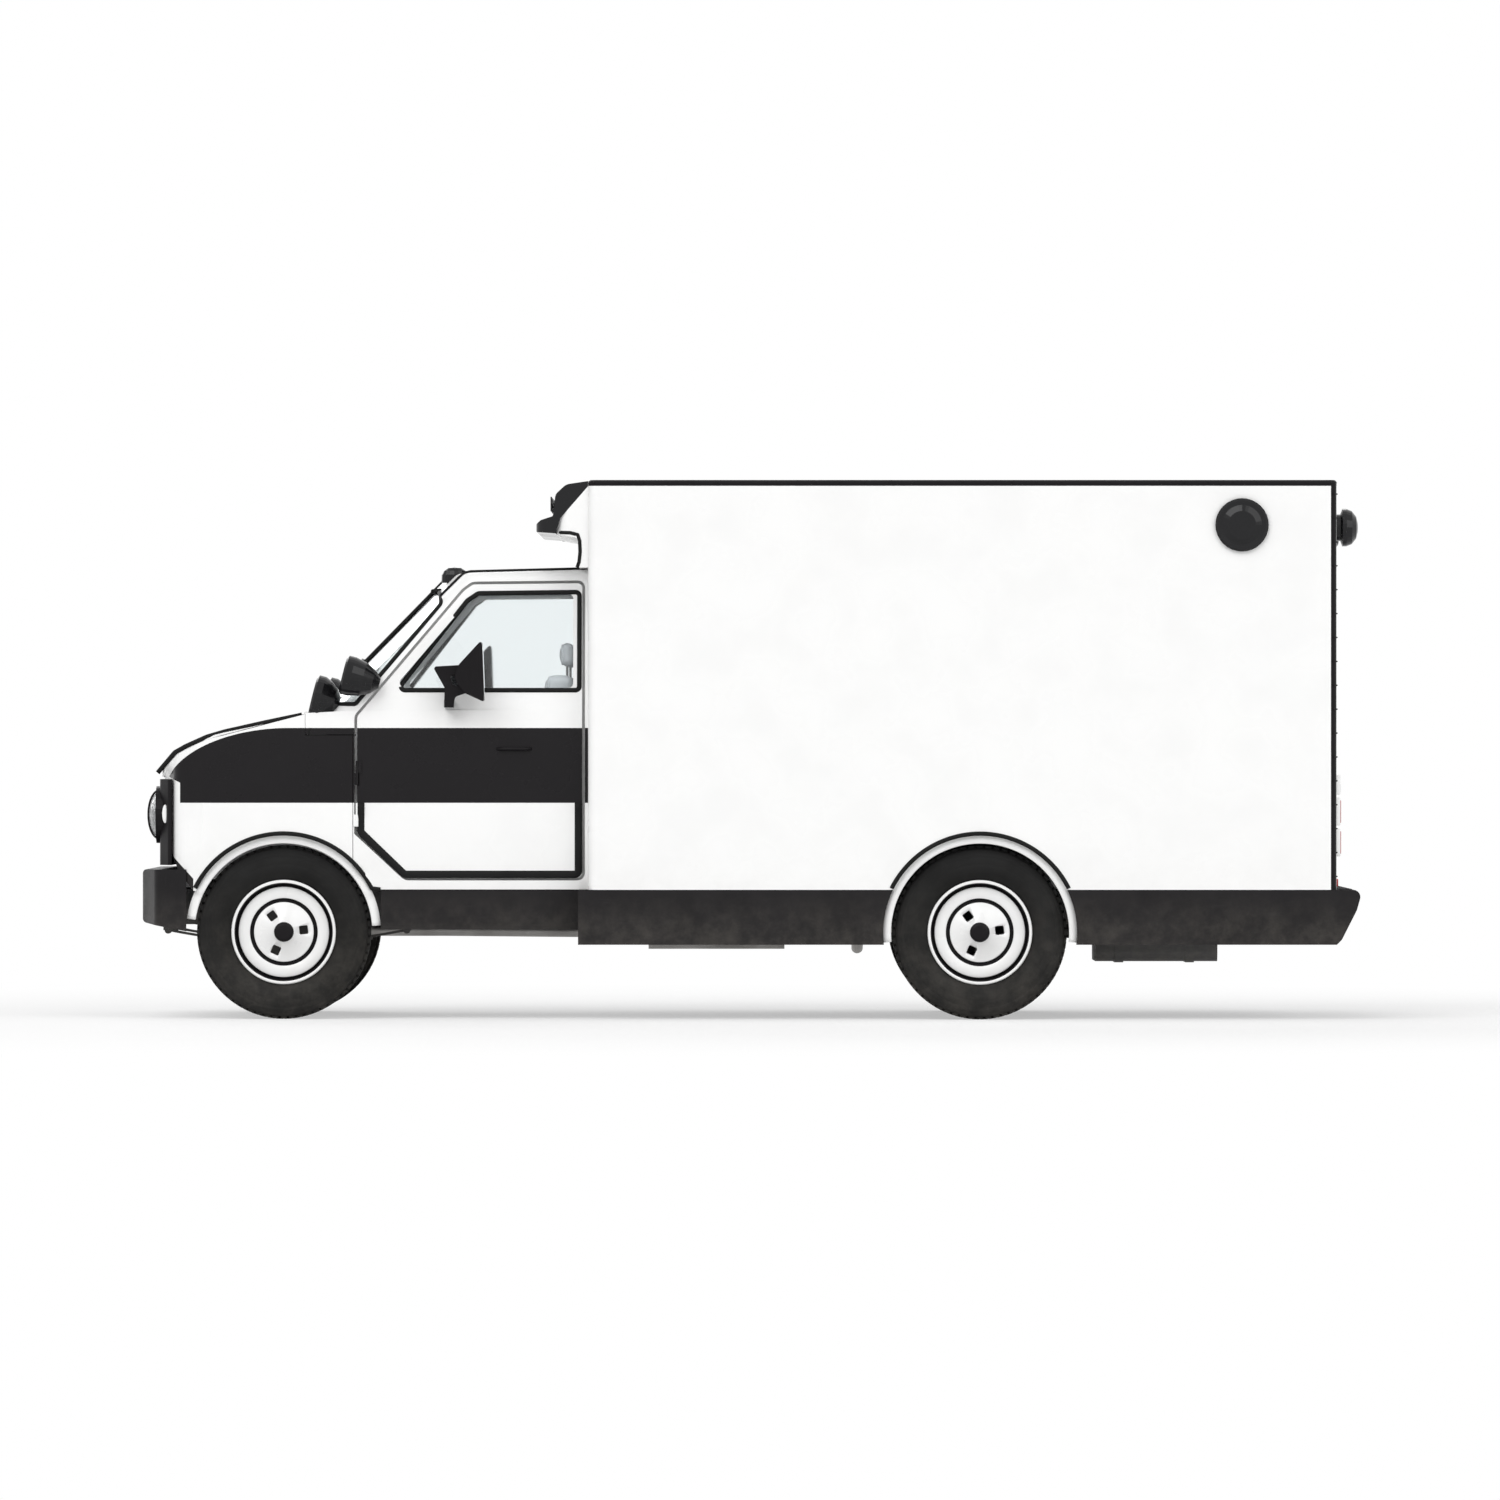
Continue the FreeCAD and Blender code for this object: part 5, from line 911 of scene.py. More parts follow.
cabTrim = {
    "windowPath": [(-1.776, 1.656, 0.020), (-1.423, 2.108, 0.05), (-1.368, 2.145, 0.04),
                   (-0.857, 2.151, 0.02), (-0.857, 1.656, 0.02)],
    "windowWidth": 0.024,
    "lowerPath": [(-1.957, 1.089), (-1.957, 0.942, 0.03), (-1.737, 0.729, 0.03), (-0.861, 0.729, 0.02),
                  (-0.861, 1.089)],
    "lowerWidth": 0.038,
    "screenSide": [(-2.075, 1.586), (-1.985, 1.586, 0.02), (-1.554, 2.093, 0.03), (-1.566, 2.154, 0.03),
                   (-1.604, 2.160)],
    "screenTop": 2.162,
    "screenFoot": 1.586,
    "screenInset": 0.02,
    "gasketRadius": 0.0115,
    "divider": [(-2.196, 1.567), (-1.556, 2.222)],
    "dividerSizes": (0.022, 0.008, 0.008),  # width, rise and sink
    "roofLineX": (-1.560, -0.830),
    "roofLineY": 0.78,
    "roofLineSizes": (0.018, 0.009, 0.009),
    "hoodEdge": [(-2.992, 1.240), (-2.905, 1.343), (-2.850, 1.374), (-2.743, 1.422), (-2.650, 1.449),
                 (-2.450, 1.494), (-2.350, 1.515), (-2.263, 1.533)],
    "hoodEdgeY": -0.735,
    "hoodEdgeSizes": (0.023, 0.006, 0.026),
    "noseProfile": [(-2.972, 1.222), (-2.972, 1.266), (-2.905, 1.344), (-2.850, 1.374), (-2.800, 1.399),
                    (-2.743, 1.422), (-2.700, 1.433)],
    "noseSteps": ((0.520, 0.0), (0.640, 0.0), (0.705, 0.004), (0.728, 0.012), (0.7405, 0.026)),
    "noseFoot": 1.222,
    "noseWall": 0.004,
    "capEdge": [(-0.973, 2.449), (-0.900, 2.446), (-0.863, 2.437), (-0.853, 2.405), (-0.851, 2.350),
                (-0.856, 2.300), (-0.866, 2.272)],
    "capEdgeWidth": 0.018,
    "cowlSeam": [(-2.216, 1.466), (-2.216, 1.430), (-1.984, 1.430)],
    "cowlSeamWidth": 0.010,
    "cowlSeamRise": 0.002,
    "archCentre": (-2.347, 0.438),
    "archRadius": 0.497,
    "archWidth": 0.022,
    "archSpan": (26.5, 153.5),
    "archFoot": (-1.858, 0.652),
    "rearArchX": 1.158,
    "lipSection": ((0.447, 0.008), (0.491, 0.008), (0.491, 0.0), (0.451, 0.0), (0.447, 0.003)),
    "lipSpans": ((4, 172), (-6, 186)),
    "lipProbe": 0.51,  # radius at which the body's side is looked for
    "lipFaces": (-0.99, -0.968, -1.149),  # furthest out, where no side is met, at the rear
    "rise": 0.006,
    "sink": 0.012,
    "sideStart": -0.55,  # anything deeper isn't the side of the body
}


def onSurface(tree, flat):
    hits = [fromLeft(tree, p.x, p.y) for p in flat]
    return filled([y if y is not None and y < cabTrim["sideStart"] else None for y in hits])


def sideRibbon(name, body, nodeNames, flat, width, closed=False, rise=cabTrim["rise"]):
    # a strip on the left side of these nodes and its twin on the right
    flat = spaced([Vector(p) for p in flat], 0.03, closed)
    heights = onSurface(surfaceOf(*nodeNames), flat)
    twins(ribbon(name + ".left", flat, heights, width, rise, cabTrim["sink"], closed), body, "black_trim")


def arcPath(x, z, radius, span, count=48):
    low, high = (math.radians(a) for a in span)
    angles = [low + (high - low) * i / count for i in range(count + 1)]
    return [Vector((x + radius * math.cos(a), z + radius * math.sin(a))) for a in angles]


def makeDoorSeals():
    c = cabTrim
    sideRibbon("doorWindowGasket", "cab_door_{}", ["cab_door_left", "cab_door_glass_left"],
               roundedPath(c["windowPath"], True), c["windowWidth"], True)
    sideRibbon("doorEdgeGuard", "cab_door_{}", ["cab_door_left"], roundedPath(c["lowerPath"]),
               c["lowerWidth"])


def makeArchLips():
    c = cabTrim
    lip = [Vector(c["archFoot"])] + arcPath(*c["archCentre"], c["archRadius"], c["archSpan"])
    sideRibbon("frontArchLip", "vehicle", ["front_clip", "cab_shell"], lip, c["archWidth"])
    lip = arcPath(c["rearArchX"], c["archCentre"][1], c["archRadius"], c["archSpan"])
    sideRibbon("rearArchLip", "vehicle", ["box_left_wall"], lip, c["archWidth"])


def makeWellLips():
    # pale inner lips between the arches and the tyres
    c = cabTrim
    tree = surfaceOf("front_clip", "cab_shell")
    frontX, z = c["archCentre"]
    furthest, unmet, rearFace = c["lipFaces"]
    for word, x, (low, high) in zip(("front", "rear"), (frontX, c["rearArchX"]), c["lipSpans"]):
        bm = bmesh.new()
        rings = []
        for i in range(65):
            angle = math.radians(low + (high - low) * i / 64)
            run = Vector((math.cos(angle), math.sin(angle)))
            face = rearFace
            if word == "front":
                hit = fromLeft(tree, x + c["lipProbe"] * run.x, z + c["lipProbe"] * run.y)
                onSide = hit is not None and hit < c["sideStart"]
                face = max(hit, furthest) + 0.010 if onSide else unmet
            rings.append([bm.verts.new((x + radius * run.x, face + depth, z + radius * run.y))
                          for radius, depth in c["lipSection"]])
        bridge(bm, rings)
        twins(meshPiece(word + "WellLip.left", bm, finishes["bodyWhite"]), "vehicle", "white_paint")


def makeScreenTrim():
    # gasket round the windscreen and the strip between its two panes
    c = cabTrim
    tree = surfaceOf("cab_shell", "windscreen")
    side = spaced(roundedPath(c["screenSide"]), 0.03)
    left = [Vector((p.x, y, p.y)) for p, y in zip(side, onSurface(tree, side))]
    right = [Vector((p.x, -p.y, p.z)) for p in reversed(left)]

    def across(corner, way, z, spare):
        wide = (abs(corner.y) - c["screenInset"]) * way
        places = [wide * (1 - i / 12) for i in range(25)]
        return [Vector((fromFront(tree, y, z) or spare, y, z)) for y in places]

    ring = left + across(left[-1], -1, c["screenTop"], -1.62) + right
    ring += across(left[0], 1, c["screenFoot"], -2.1)
    gasket = tube("windscreenGasket", ring, c["gasketRadius"], "sealRubber", closed=True)
    run = spaced([Vector(p) for p in c["divider"]], 0.05)
    strip = ribbon("windscreenStrip", run, [0.0] * len(run), *c["dividerSizes"])
    settle(gasket, "vehicle", "black_trim")
    settle(strip, "vehicle", "black_trim")


def makeRoofLine():
    # drip rail near each edge of the cab roof
    c = cabTrim
    tree = surfaceOf("cab_shell")
    first, last = c["roofLineX"]
    flat = []
    for i in range(25):
        x = first + (last - first) * i / 24
        hit = seenFrom(tree, (x, -c["roofLineY"], 3.0), (0, 0, -1), 2.0)
        flat.append(Vector((x, (hit.z if hit else 2.2) + 0.004)))
    left = ribbon("cabDripRail.left", flat, [-c["roofLineY"]] * len(flat), *c["roofLineSizes"])
    twins(left, "vehicle", "black_trim")


def makeHoodTrim():
    # moulding on each edge of the hood, and the corner panels of the nose that lift with it
    c = cabTrim
    flat = spaced([Vector(p) for p in c["hoodEdge"]], 0.03)
    left = ribbon("hoodEdgeMoulding.left", flat, [c["hoodEdgeY"]] * len(flat), *c["hoodEdgeSizes"])
    twins(left, "hood", "black_trim")
    bm = bmesh.new()
    rows = [[bm.verts.new((x + back, -y, z - back * 0.3)) for y, back in c["noseSteps"]]
            for x, z in c["noseProfile"]]
    bridge(bm, rows, around=False, caps=False)
    outer = [row[-1] for row in rows]
    low = [bm.verts.new((v.co.x, v.co.y, c["noseFoot"])) for v in outer[1:]]
    bm.faces.new((outer[0], low[0], outer[1]))
    for k in range(1, len(outer) - 1):
        bm.faces.new((outer[k], low[k - 1], low[k], outer[k + 1]))
    left = walled(meshPiece("noseCorner.left", bm, finishes["bodyWhite"]), c["noseWall"])
    twins(left, "hood", "white_paint")


def makeSeams():
    # strips along the edge of the shroud and over the seam below the cowl
    c = cabTrim
    sideRibbon("capEdgeStrip", "vehicle", ["box_cap", "box_front_wall"], c["capEdge"], c["capEdgeWidth"])
    sideRibbon("cowlSeam", "vehicle", ["front_clip", "cab_shell"], c["cowlSeam"], c["cowlSeamWidth"],
               rise=c["cowlSeamRise"])


makeDoorSeals()
makeArchLips()
makeWellLips()
makeScreenTrim()
makeRoofLine()
makeHoodTrim()
makeSeams()
print("cab trim made")

# head lamps with their guards, side markers and tail lamps

lampForms = {
    "y": 0.745,
    "z": 1.029,
    "domeRadius": 0.119,
    "domeFront": -3.034,
    "domeRear": -2.976,
    "glassRear": -2.968,
    "glassShare": 0.965,  # of the dome's radius, for the inner face of the glass
    "glassWall": 0.003,
    "shieldRadius": 0.092,
    "shieldFront": -2.992,
    "shieldRear": -2.966,
    "dish": [(0.0, -2.967), (0.114, -2.971), (0.114, -2.964), (0.0, -2.962)],
    "bezel": [(0.119, -2.960), (0.119, -2.990), (0.122, -2.996), (0.128, -2.996), (0.131, -2.990),
              (0.133, -2.960), (0.119, -2.960)],
    "guardWidth": 0.007,
    "guardDepth": 0.010,
    "guardGap": 0.004,
    "guardFoot": (0.128, -2.965),
    "markerX": -2.945,
    "markerZ": 1.033,
    "markerHalf": (0.016, 0.047),
    "markerRings": ((1.0, -0.004), (1.0, 0.004), (0.86, 0.008), (0.5, 0.010)),  # share of size, proud
}


def domeProfile(radius, front, rear, count=12):
    # (radius, x) from the middle of the dome to its rim
    angles = [math.pi / 2 * i / count for i in range(count + 1)]
    return [(radius * math.sin(a), rear + (front - rear) * math.cos(a)) for a in angles]


def spunPiece(name, profile, y, z, finishName):
    bm = bmesh.new()
    addSpun(bm, profile, 64, alongX(y, z))
    return meshPiece(name, bm, finishes[finishName])


def makeGuard(dome, y, z):
    # upright hoop in front of a lens
    f = lampForms
    hoop = [f["guardFoot"]] + [(r + f["guardGap"], x - f["guardGap"]) for r, x in reversed(dome)]
    hoop += [(-r, x) for r, x in reversed(hoop[:-1])]
    bm = bmesh.new()
    rings = []
    for i, (u, x) in enumerate(hoop):
        a, b = hoop[max(i - 1, 0)], hoop[min(i + 1, len(hoop) - 1)]
        run = Vector((b[0] - a[0], b[1] - a[1])).normalized()
        out = Vector((-run.y, run.x)) * f["guardDepth"] / 2
        if out.y > 0 and abs(u) < 0.1:
            out = -out
        rings.append([bm.verts.new((x + out.y * k, y + w * f["guardWidth"] / 2, z + u + out.x * k))
                      for k, w in ((-1, -1), (-1, 1), (1, 1), (1, -1))])
    bridge(bm, rings)
    return meshPiece("guardHoop", bm, finishes["trimBlack"], smooth=False)


def makeHeadLamps():
    f = lampForms
    share = f["glassShare"]
    dome = domeProfile(f["domeRadius"], f["domeFront"], f["domeRear"])
    rim = [(f["domeRadius"], f["glassRear"]), (f["domeRadius"] * share, f["glassRear"])]
    glass = dome + rim + [(r * share, x + f["glassWall"]) for r, x in reversed(dome[:-1])]
    shield = domeProfile(f["shieldRadius"], f["shieldFront"], f["shieldRear"]) + [(0.0, f["shieldRear"])]
    for side, word in bothSides:
        y, z = f["y"] * side, f["z"]
        lens = spunPiece("headLampLens." + word, glass, y, z, "clearLens")
        settle(lens, "vehicle", "lamp_clear", "lamp_lenses")
        parts = [spunPiece("shield", shield, y, z, "lampBlack"),
                 spunPiece("dish", f["dish"], y, z, "reflector"),
                 makeGuard(dome, y, z), spunPiece("bezelRing", f["bezel"], y, z, "trimBlack")]
        settle(joined("headLampFittings." + word, parts), "vehicle", "lamp_black")


def makeSideMarkers():
    # oval marker on each side of the nose surround
    f = lampForms
    x, z = f["markerX"], f["markerZ"]
    wide, tall = f["markerHalf"]
    face = fromLeft(surfaceOf("grille", "front_clip"), x, z) or -0.93
    angles = [2 * math.pi * i / 32 for i in range(32)]
    bm = bmesh.new()
    bridge(bm, [[bm.verts.new((x + wide * scale * math.cos(a), face - out, z + tall * scale * math.sin(a)))
                 for a in angles] for scale, out in f["markerRings"]])
    twins(meshPiece("noseMarkerLens.left", bm, finishes["bodyWhite"]), "vehicle", "lamp_clear")


tailForms = {
    "lamps": ((0.820, 0.960, "redLens"), (0.975, 1.115, "redLens"), (1.130, 1.230, "reflector")),
    "inner": 0.940,
    "outer": 1.090,
    "face": 2.949,
    "proud": 0.0255,
    "rim": 0.012,
    "bevels": (0.006, 0.005),
}


def makeTailLamps():
    # white bezels with a ribbed lens each
    t = tailForms
    front, rim = t["face"] + t["proud"], t["rim"]
    for side, word in bothSides:
        y0, y1 = sorted((t["inner"] * side, t["outer"] * side))
        parts = []
        for z0, z1, lensName in t["lamps"]:
            parts.append(roundedBox("bezel", (t["face"], y0, z0), (front - 0.004, y1, z1), t["bevels"][0],
                                    "bodyWhite"))
            parts.append(roundedBox("lens", (front - 0.010, y0 + rim, z0 + rim), (front, y1 - rim, z1 - rim),
                                    t["bevels"][1], lensName))
        settle(joined("tailLamps." + word, parts), "vehicle", "lamp_red", "tail_lamps")


makeHeadLamps()
makeSideMarkers()
makeTailLamps()
print("lamps made")

# repeated fittings from the trees

repeats = {
    "rivetSpacing": 0.12,
    "rivetRadius": 0.004,
    "rivetRoof": 2.698,
    "rivetSide": (2.934, 1.1705),  # x of the upright lines, y of the side
    "rivetRear": (2.9495, 1.155),
    "rivetX": (-0.78, 2.92),
    "rivetY": (-1.08, 1.08),
    "rivetZ": (0.72, 2.64),
    "grilleSpacing": 0.028,
    "treadSpacing": 0.046,
    "prismSpacing": 0.018,
    "prismPitch": 0.42,
    "prismHalf": 0.144,
}


def makeRivets():
    # rivets along the compartment's edges
    r = repeats
    upX, sideY = r["rivetSide"]
    rearX, rearY = r["rivetRear"]
    lines = []
    for side, _ in bothSides:
        lines.append([(x, sideY * side, r["rivetRoof"]) for x in r["rivetX"]])
        lines.append([(upX, sideY * side, z) for z in r["rivetZ"]])
        lines.append([(rearX, rearY * side, z) for z in r["rivetZ"]])
    lines.append([(rearX, y, r["rivetRoof"]) for y in r["rivetY"]])
    rivets = runTree("trimRivets", trees["studs"], edgeMesh("rivetLines", *lines), finishes["trimBlack"],
                     Spacing=r["rivetSpacing"], Radius=r["rivetRadius"])
    settle(rivets, "vehicle", "black_trim")


def makeBars(name, lines, spacing, size, finishName, slotName):
    mesh = edgeMesh(name, *lines)
    piece = runTree(name, trees["bars"], mesh, finishes[finishName], Spacing=spacing, Size=size)
    for face in piece.data.polygons:
        face.use_smooth = False
    settle(piece, "vehicle", slotName)


makeRivets()
makeBars("grilleSlats", [[(-2.944, -0.556, 1.029), (-2.944, 0.556, 1.029)]], repeats["grilleSpacing"],
         (0.012, 0.004, 0.284), "trimBlack", "black_trim")
makeBars("stepTreads", [[(2.992, -1.12, 0.654), (2.992, 1.12, 0.654)]], repeats["treadSpacing"],
         (0.070, 0.014, 0.006), "bumperBlack", "black_bumper")
print("repeated fittings made")

# doors' trim and small fittings

doorForms = {
    "rearWindow": ((0.110, 1.640), (0.490, 2.160)),
    "rearFace": 2.949,
    "sideWindow": ((-0.470, 1.680), (-0.030, 2.220)),
    "sideFace": 1.170,
    "corner": 0.05,
    "gasket": 0.011,
    "pullX": (-1.272, -1.098),
    "pullZ": 1.361,
    "pullRadius": 0.009,
    "pullSteps": ((0, 0.012), (0.012, -0.012), (0.04, -0.018)),  # distance from the end, and outwards
    "wiperFoot": (0.16, 1.575),
    "wiperBlade": ((0.12, 1.652), (0.66, 1.628)),
    "bladeRadius": 0.006,
    "armRadius": 0.007,
}


def makeDoorTrim():
    d = doorForms
    for side, word in bothSides:
        ring = [Vector((d["rearFace"], p.x * side, p.y)) for p in roundedRect(*d["rearWindow"], d["corner"])]
        piece = tube("rearWindowGasket." + word, ring, d["gasket"], "sealRubber", closed=True)
        settle(piece, "rear_door_" + word, "black_trim")
    ring = [Vector((p.x, d["sideFace"], p.y)) for p in roundedRect(*d["sideWindow"], d["corner"])]
    piece = tube("sideWindowGasket", ring, d["gasket"], "sealRubber", closed=True)
    settle(piece, "side_door", "black_trim")
    (x0, x1), z = d["pullX"], d["pullZ"]
    y = fromLeft(surfaceOf("cab_door_left"), x0 - 0.03, z) or -1.0
    path = [Vector((x0 + along, y + out, z)) for along, out in d["pullSteps"]]
    path += [Vector((x1 - along, y + out, z)) for along, out in reversed(d["pullSteps"])]
    twins(tube("cabDoorPull.left", path, d["pullRadius"], "trimBlack"), "cab_door_{}", "black_trim")


def makeWipers():
    d = doorForms
    tree = surfaceOf("cab_shell", "windscreen")

    def onGlass(y, z, out):
        return Vector(((fromFront(tree, y, z) or -2.15) - out, y, z))

    (ya, za), (yb, zb) = d["wiperBlade"]
    for side, word in bothSides:
        blade = [onGlass((ya + (yb - ya) * i / 10) * side, za + (zb - za) * i / 10, 0.010) for i in range(11)]
        foot = onGlass(d["wiperFoot"][0] * side * 0.3, d["wiperFoot"][1], 0.006)
        arm = [foot, foot + Vector((-0.02, 0.02 * side, 0.012)), blade[5] + Vector((-0.016, 0, 0)), blade[5]]
        parts = [tube("blade", blade, d["bladeRadius"], "sealRubber"),
                 tube("arm", arm, d["armRadius"], "trimBlack")]
        settle(joined("wiper." + word, parts), "vehicle", "black_trim")


makeDoorTrim()
makeWipers()
print("door trim and wipers made")

# seats and bench, padded

padSizes = {
    "voxel": 0.014,
    "benchVoxel": 0.018,
    "shrink": 0.009,
    "pressure": 4.0,
    "cap": 0.011,
    "frames": 20,
    "channelDepth": 0.010,
    "channelWidth": 0.011,
    "crownDrop": 0.006,
    "welt": 0.005,
    "seatY": 0.565,
    "seatRow": 0.12,
    "benchRow": 0.48,
}
seatForms = {  # lowest and highest corner about the seat's middle, corner radius, sewn face, channels or not
    "seatCushion": ((-1.440, -0.235, 1.030), (-0.940, 0.235, 1.150), 0.034, (2, 1), True),
    "seatBack": ((-1.040, -0.225, 1.152), (-0.885, 0.225, 1.750), 0.036, (0, -1), True),
    "seatHead": ((-0.968, -0.120, 1.770), (-0.880, 0.120, 1.905), 0.026, (0, -1), False),
}
standForms = {  # boxes about the seat's middle, and the posts of the head rest
    "boxes": [
        ((-1.380, -0.190, 0.740), (-0.980, 0.190, 1.036)),
        ((-1.395, -0.180, 0.728), (-0.965, -0.140, 0.744)),
        ((-1.395, 0.140, 0.728), (-0.965, 0.180, 0.744)),
        ((-0.985, -0.200, 1.000), (-0.955, -0.180, 1.240)),
        ((-0.985, 0.180, 1.000), (-0.955, 0.200, 1.240)),
    ],
    "bevel": 0.006,
    "postX": -0.924,
    "postY": (-0.05, 0.05),
    "postZ": (1.72, 1.80),
    "postRadius": 0.006,
}
benchForms = {
    "benchSeat": ((0.520, 0.522, 1.130), (2.440, 1.115, 1.200), 0.022, (2, 1), "benchVoxel"),
    "benchBack": ((0.520, 1.055, 1.420), (2.440, 1.115, 1.760), 0.018, (1, -1), "voxel"),
}


def inflate(piece):
    # one short cloth run under pressure, with every point held near where it was
    scene = bpy.context.scene
    start = [v.co.copy() for v in piece.data.vertices]
    cloth = piece.modifiers.new("stuffing", "CLOTH")
    cloth.settings.use_pressure = True
    cloth.settings.uniform_pressure_force = padSizes["pressure"]
    cloth.settings.effector_weights.gravity = 0
    for number in range(1, padSizes["frames"] + 1):
        scene.frame_set(number)
    shown = piece.evaluated_get(bpy.context.evaluated_depsgraph_get())
    moved = [v.co - a for v, a in zip(shown.data.vertices, start)]
    piece.modifiers.clear()
    scene.frame_set(1)
    drift = sum(moved, Vector()) / len(moved)
    for vert, a, move in zip(piece.data.vertices, start, moved):
        move = move - drift
        if move.length > padSizes["cap"]:
            move.length = padSizes["cap"]
        vert.co = a + move


def sew(pad, low, high, facing, channels):
    # crowns the sewn face and presses its channels in
    axis, sign = facing
    half = (high - low) / 2
    middle = (high + low) / 2
    for vert in pad.data.vertices:
        away = vert.co - middle
        if away[axis] * sign < half[axis] * 0.2:
            continue
        crown = 1.0
        for other in range(3):
            if other != axis:
                crown *= max(1 - (away[other] / half[other]) ** 2, 0)
        press = -padSizes["crownDrop"] * (1 - crown)
        for line, value in channels:
            across = (vert.co[line] - value) / padSizes["channelWidth"]
            press -= padSizes["channelDepth"] * math.exp(-across ** 2)
        vert.co[axis] += press * sign


def weltPath(pad, low, high, corner, facing):
    # points on the pad along the edge of its sewn face
    axis, sign = facing
    u, v = [k for k in range(3) if k != axis]
    inset = padSizes["shrink"] + corner * 0.30
    edge = (high if sign > 0 else low)[axis] - sign * inset
    ring = roundedRect((low[u] + inset, low[v] + inset), (high[u] - inset, high[v] - inset), corner)
    mesh = pad.data
    tree = BVHTree.FromPolygons([v.co for v in mesh.vertices], [list(f.vertices) for f in mesh.polygons])
    points = []
    for p in spaced(ring, 0.02, True):
        place = Vector()
        place[axis], place[u], place[v] = edge, p.x, p.y
        points.append(tree.find_nearest(place)[0])
    return points


def makePad(name, low, high, corner, facing, channels, voxel, finishName, slotName, nodeName):
    # facing is the axis and sign of the sewn face, channels are (axis, value) lines across it
    low, high = Vector(low), Vector(high)
    shrink = Vector((padSizes["shrink"],) * 3)
    bm = bmesh.new()
    addBox(bm, low + shrink, high - shrink)
    bmesh.ops.bevel(bm, geom=list(bm.edges), offset=corner, segments=4, profile=0.5, affect="EDGES")
    pad = meshPiece(name, bm, finishes[finishName])
    remesh = pad.modifiers.new("voxels", "REMESH")
    remesh.mode = "VOXEL"
    remesh.voxel_size = voxel
    pad = plain(pad)
    inflate(pad)
    sew(pad, low, high, facing, channels)
    smoother = pad.modifiers.new("smoother", "SUBSURF")
    smoother.levels = smoother.render_levels = 1
    pad = plain(pad)
    for face in pad.data.polygons:
        face.use_smooth = True
    welt = tube(name + ".welt", weltPath(pad, low, high, corner, facing), padSizes["welt"], finishName,
                closed=True)
    for piece in (pad, welt):
        settle(piece, "vehicle", slotName, nodeName)


def makeSeats():
    s = standForms
    for side, word in bothSides:
        y = padSizes["seatY"] * side

        def about(point):
            return (point[0], y + point[1], point[2])

        rows = [(1, y + k * padSizes["seatRow"]) for k in (-1, 0, 1)]
        for name, (low, high, corner, facing, sewn) in seatForms.items():
            makePad(name + "." + word, about(low), about(high), corner, facing, rows if sewn else [],
                    padSizes["voxel"], "seatVinyl", "seat_vinyl", "cab_seats")
        bm = bmesh.new()
        for low, high in s["boxes"]:
            addBox(bm, about(low), about(high))
        parts = [bevelled(meshPiece("stand", bm, finishes["dashPlastic"]), s["bevel"])]
        for k in s["postY"]:
            post = [Vector(about((s["postX"], k, z))) for z in s["postZ"]]
            parts.append(tube("post", post, s["postRadius"], "bareSteel"))
        settle(joined("seatBase." + word, parts), "vehicle", "dash_plastic", "cab_seats")


def makeBench():
    for name, (low, high, corner, facing, voxel) in benchForms.items():
        rows = [(0, low[0] + padSizes["benchRow"] * k) for k in range(1, 4)]
        makePad(name, low, high, corner, facing, rows, padSizes[voxel], "benchVinyl", "bench_vinyl",
                "bench_cushion")


makeSeats()
makeBench()
print("seats and bench made")

# mirror faces and light bar prisms

mirrorForms = {"y": (1.045, 1.195), "z": (1.600, 1.880), "steps": 10, "proud": 0.0015, "wall": 0.003}


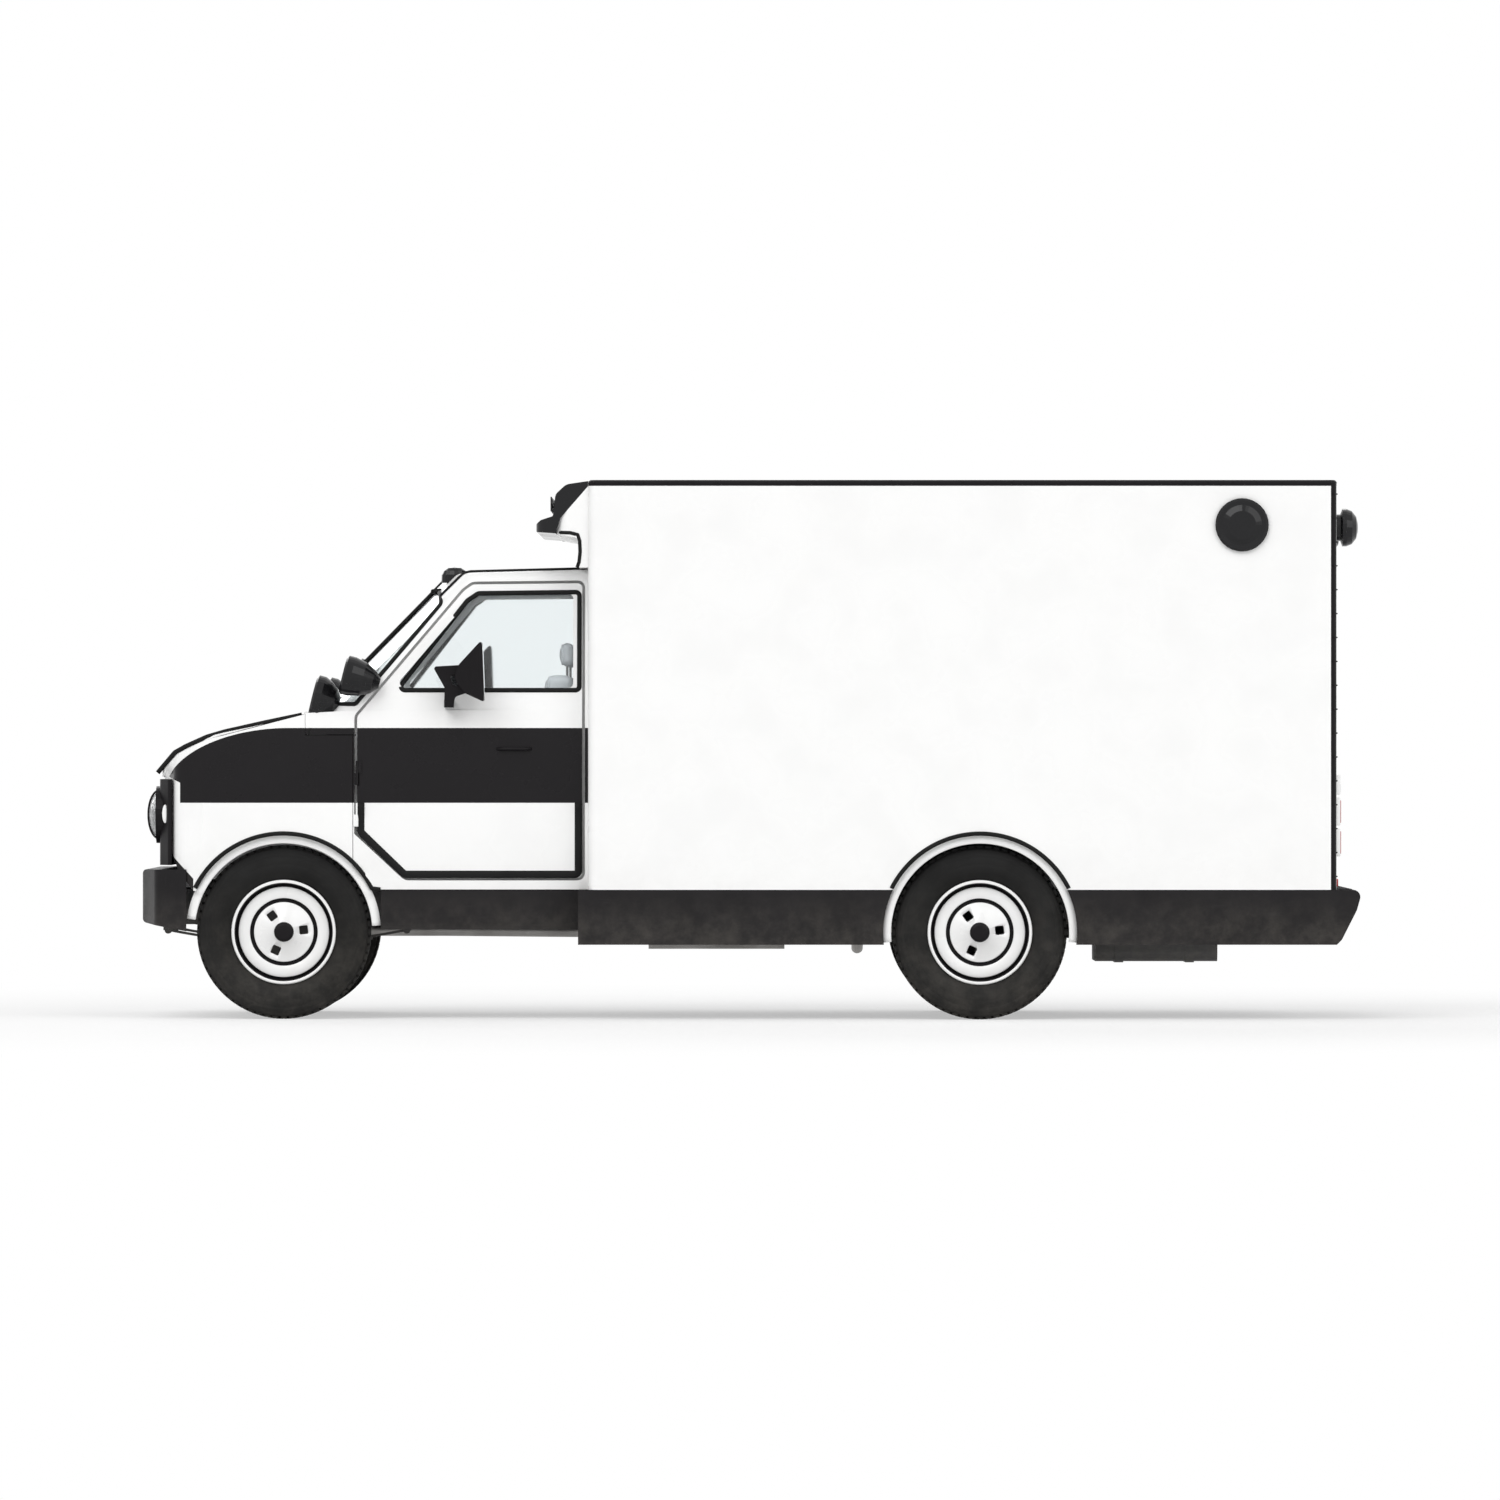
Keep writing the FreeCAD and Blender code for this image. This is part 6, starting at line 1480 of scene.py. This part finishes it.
def makeMirrorFaces():
    m = mirrorForms
    tree = surfaceOf("mirror_left")
    n = m["steps"]
    (y0, y1), (z0, z1) = m["y"], m["z"]
    bm = bmesh.new()
    grid = {}
    for i in range(n + 1):
        for j in range(n + 1):
            y, z = -(y0 + (y1 - y0) * i / n), z0 + (z1 - z0) * j / n
            hit = seenFrom(tree, (-0.9, y, z), (-1, 0, 0), 1.0)
            if hit is not None and hit.x > -1.40:
                grid[i, j] = bm.verts.new((hit.x + m["proud"], y, z))
    for i in range(n):
        for j in range(n):
            corners = [grid.get(k) for k in ((i, j), (i + 1, j), (i + 1, j + 1), (i, j + 1))]
            if all(corners):
                bm.faces.new(corners)
    bmesh.ops.delete(bm, geom=[v for v in bm.verts if not v.link_faces], context="VERTS")
    left = walled(meshPiece("mirrorFace.left", bm, finishes["mirrorGlass"]), m["wall"])
    twins(left, "cab_door_{}", "lamp_clear")


def makePrisms():
    r = repeats
    middles = [r["prismPitch"] * k for k in range(-2, 3)]
    lines = [[(-0.999, y - r["prismHalf"], 2.594), (-0.999, y + r["prismHalf"], 2.594)] for y in middles]
    makeBars("lightBarPrisms", lines, r["prismSpacing"], (0.006, 0.007, 0.072), "lampBlack", "lamp_black")


makeMirrorFaces()
makePrisms()
print("mirror faces and prisms made")

# rear reflectors and blank plate

rearForms = {
    "reflectorX": (2.945, 2.960),
    "reflectorY": (1.000, 1.090),
    "reflectorZ": (0.668, 0.708),
    "reflectorBevel": 0.005,
    "plateHalf": (0.155, 0.080),
    "plateCorner": 0.02,
    "plateDepth": (0.030, 0.0005),
    "plateZ": 0.560,
    "stepFace": 3.0665,
}


def makeRearFittings():
    f = rearForms
    tree = surfaceOf("rear_bumper", "box_rear_wall")
    hit = seenFrom(tree, (3.4, 0.0, f["plateZ"]), (-1, 0, 0), 1.0)
    face = min(hit.x if hit else 3.05, f["stepFace"])
    half, tall = f["plateHalf"]
    ring = roundedRect((-half, f["plateZ"] - tall), (half, f["plateZ"] + tall), f["plateCorner"])
    bm = bmesh.new()
    bridge(bm, [[bm.verts.new((face - depth, p.x, p.y)) for p in ring] for depth in f["plateDepth"]])
    plate = meshPiece("blankPlate", bm, finishes["edgeAlloy"], smooth=False)
    settle(plate, "vehicle", "bare_steel")
    (x0, x1), (z0, z1) = f["reflectorX"], f["reflectorZ"]
    for side, word in bothSides:
        y0, y1 = sorted(v * side for v in f["reflectorY"])
        glow = roundedBox("rearReflector." + word, (x0, y0, z0), (x1, y1, z1), f["reflectorBevel"], "redLens")
        settle(glow, "vehicle", "lamp_red")


makeRearFittings()
print("rear fittings made")
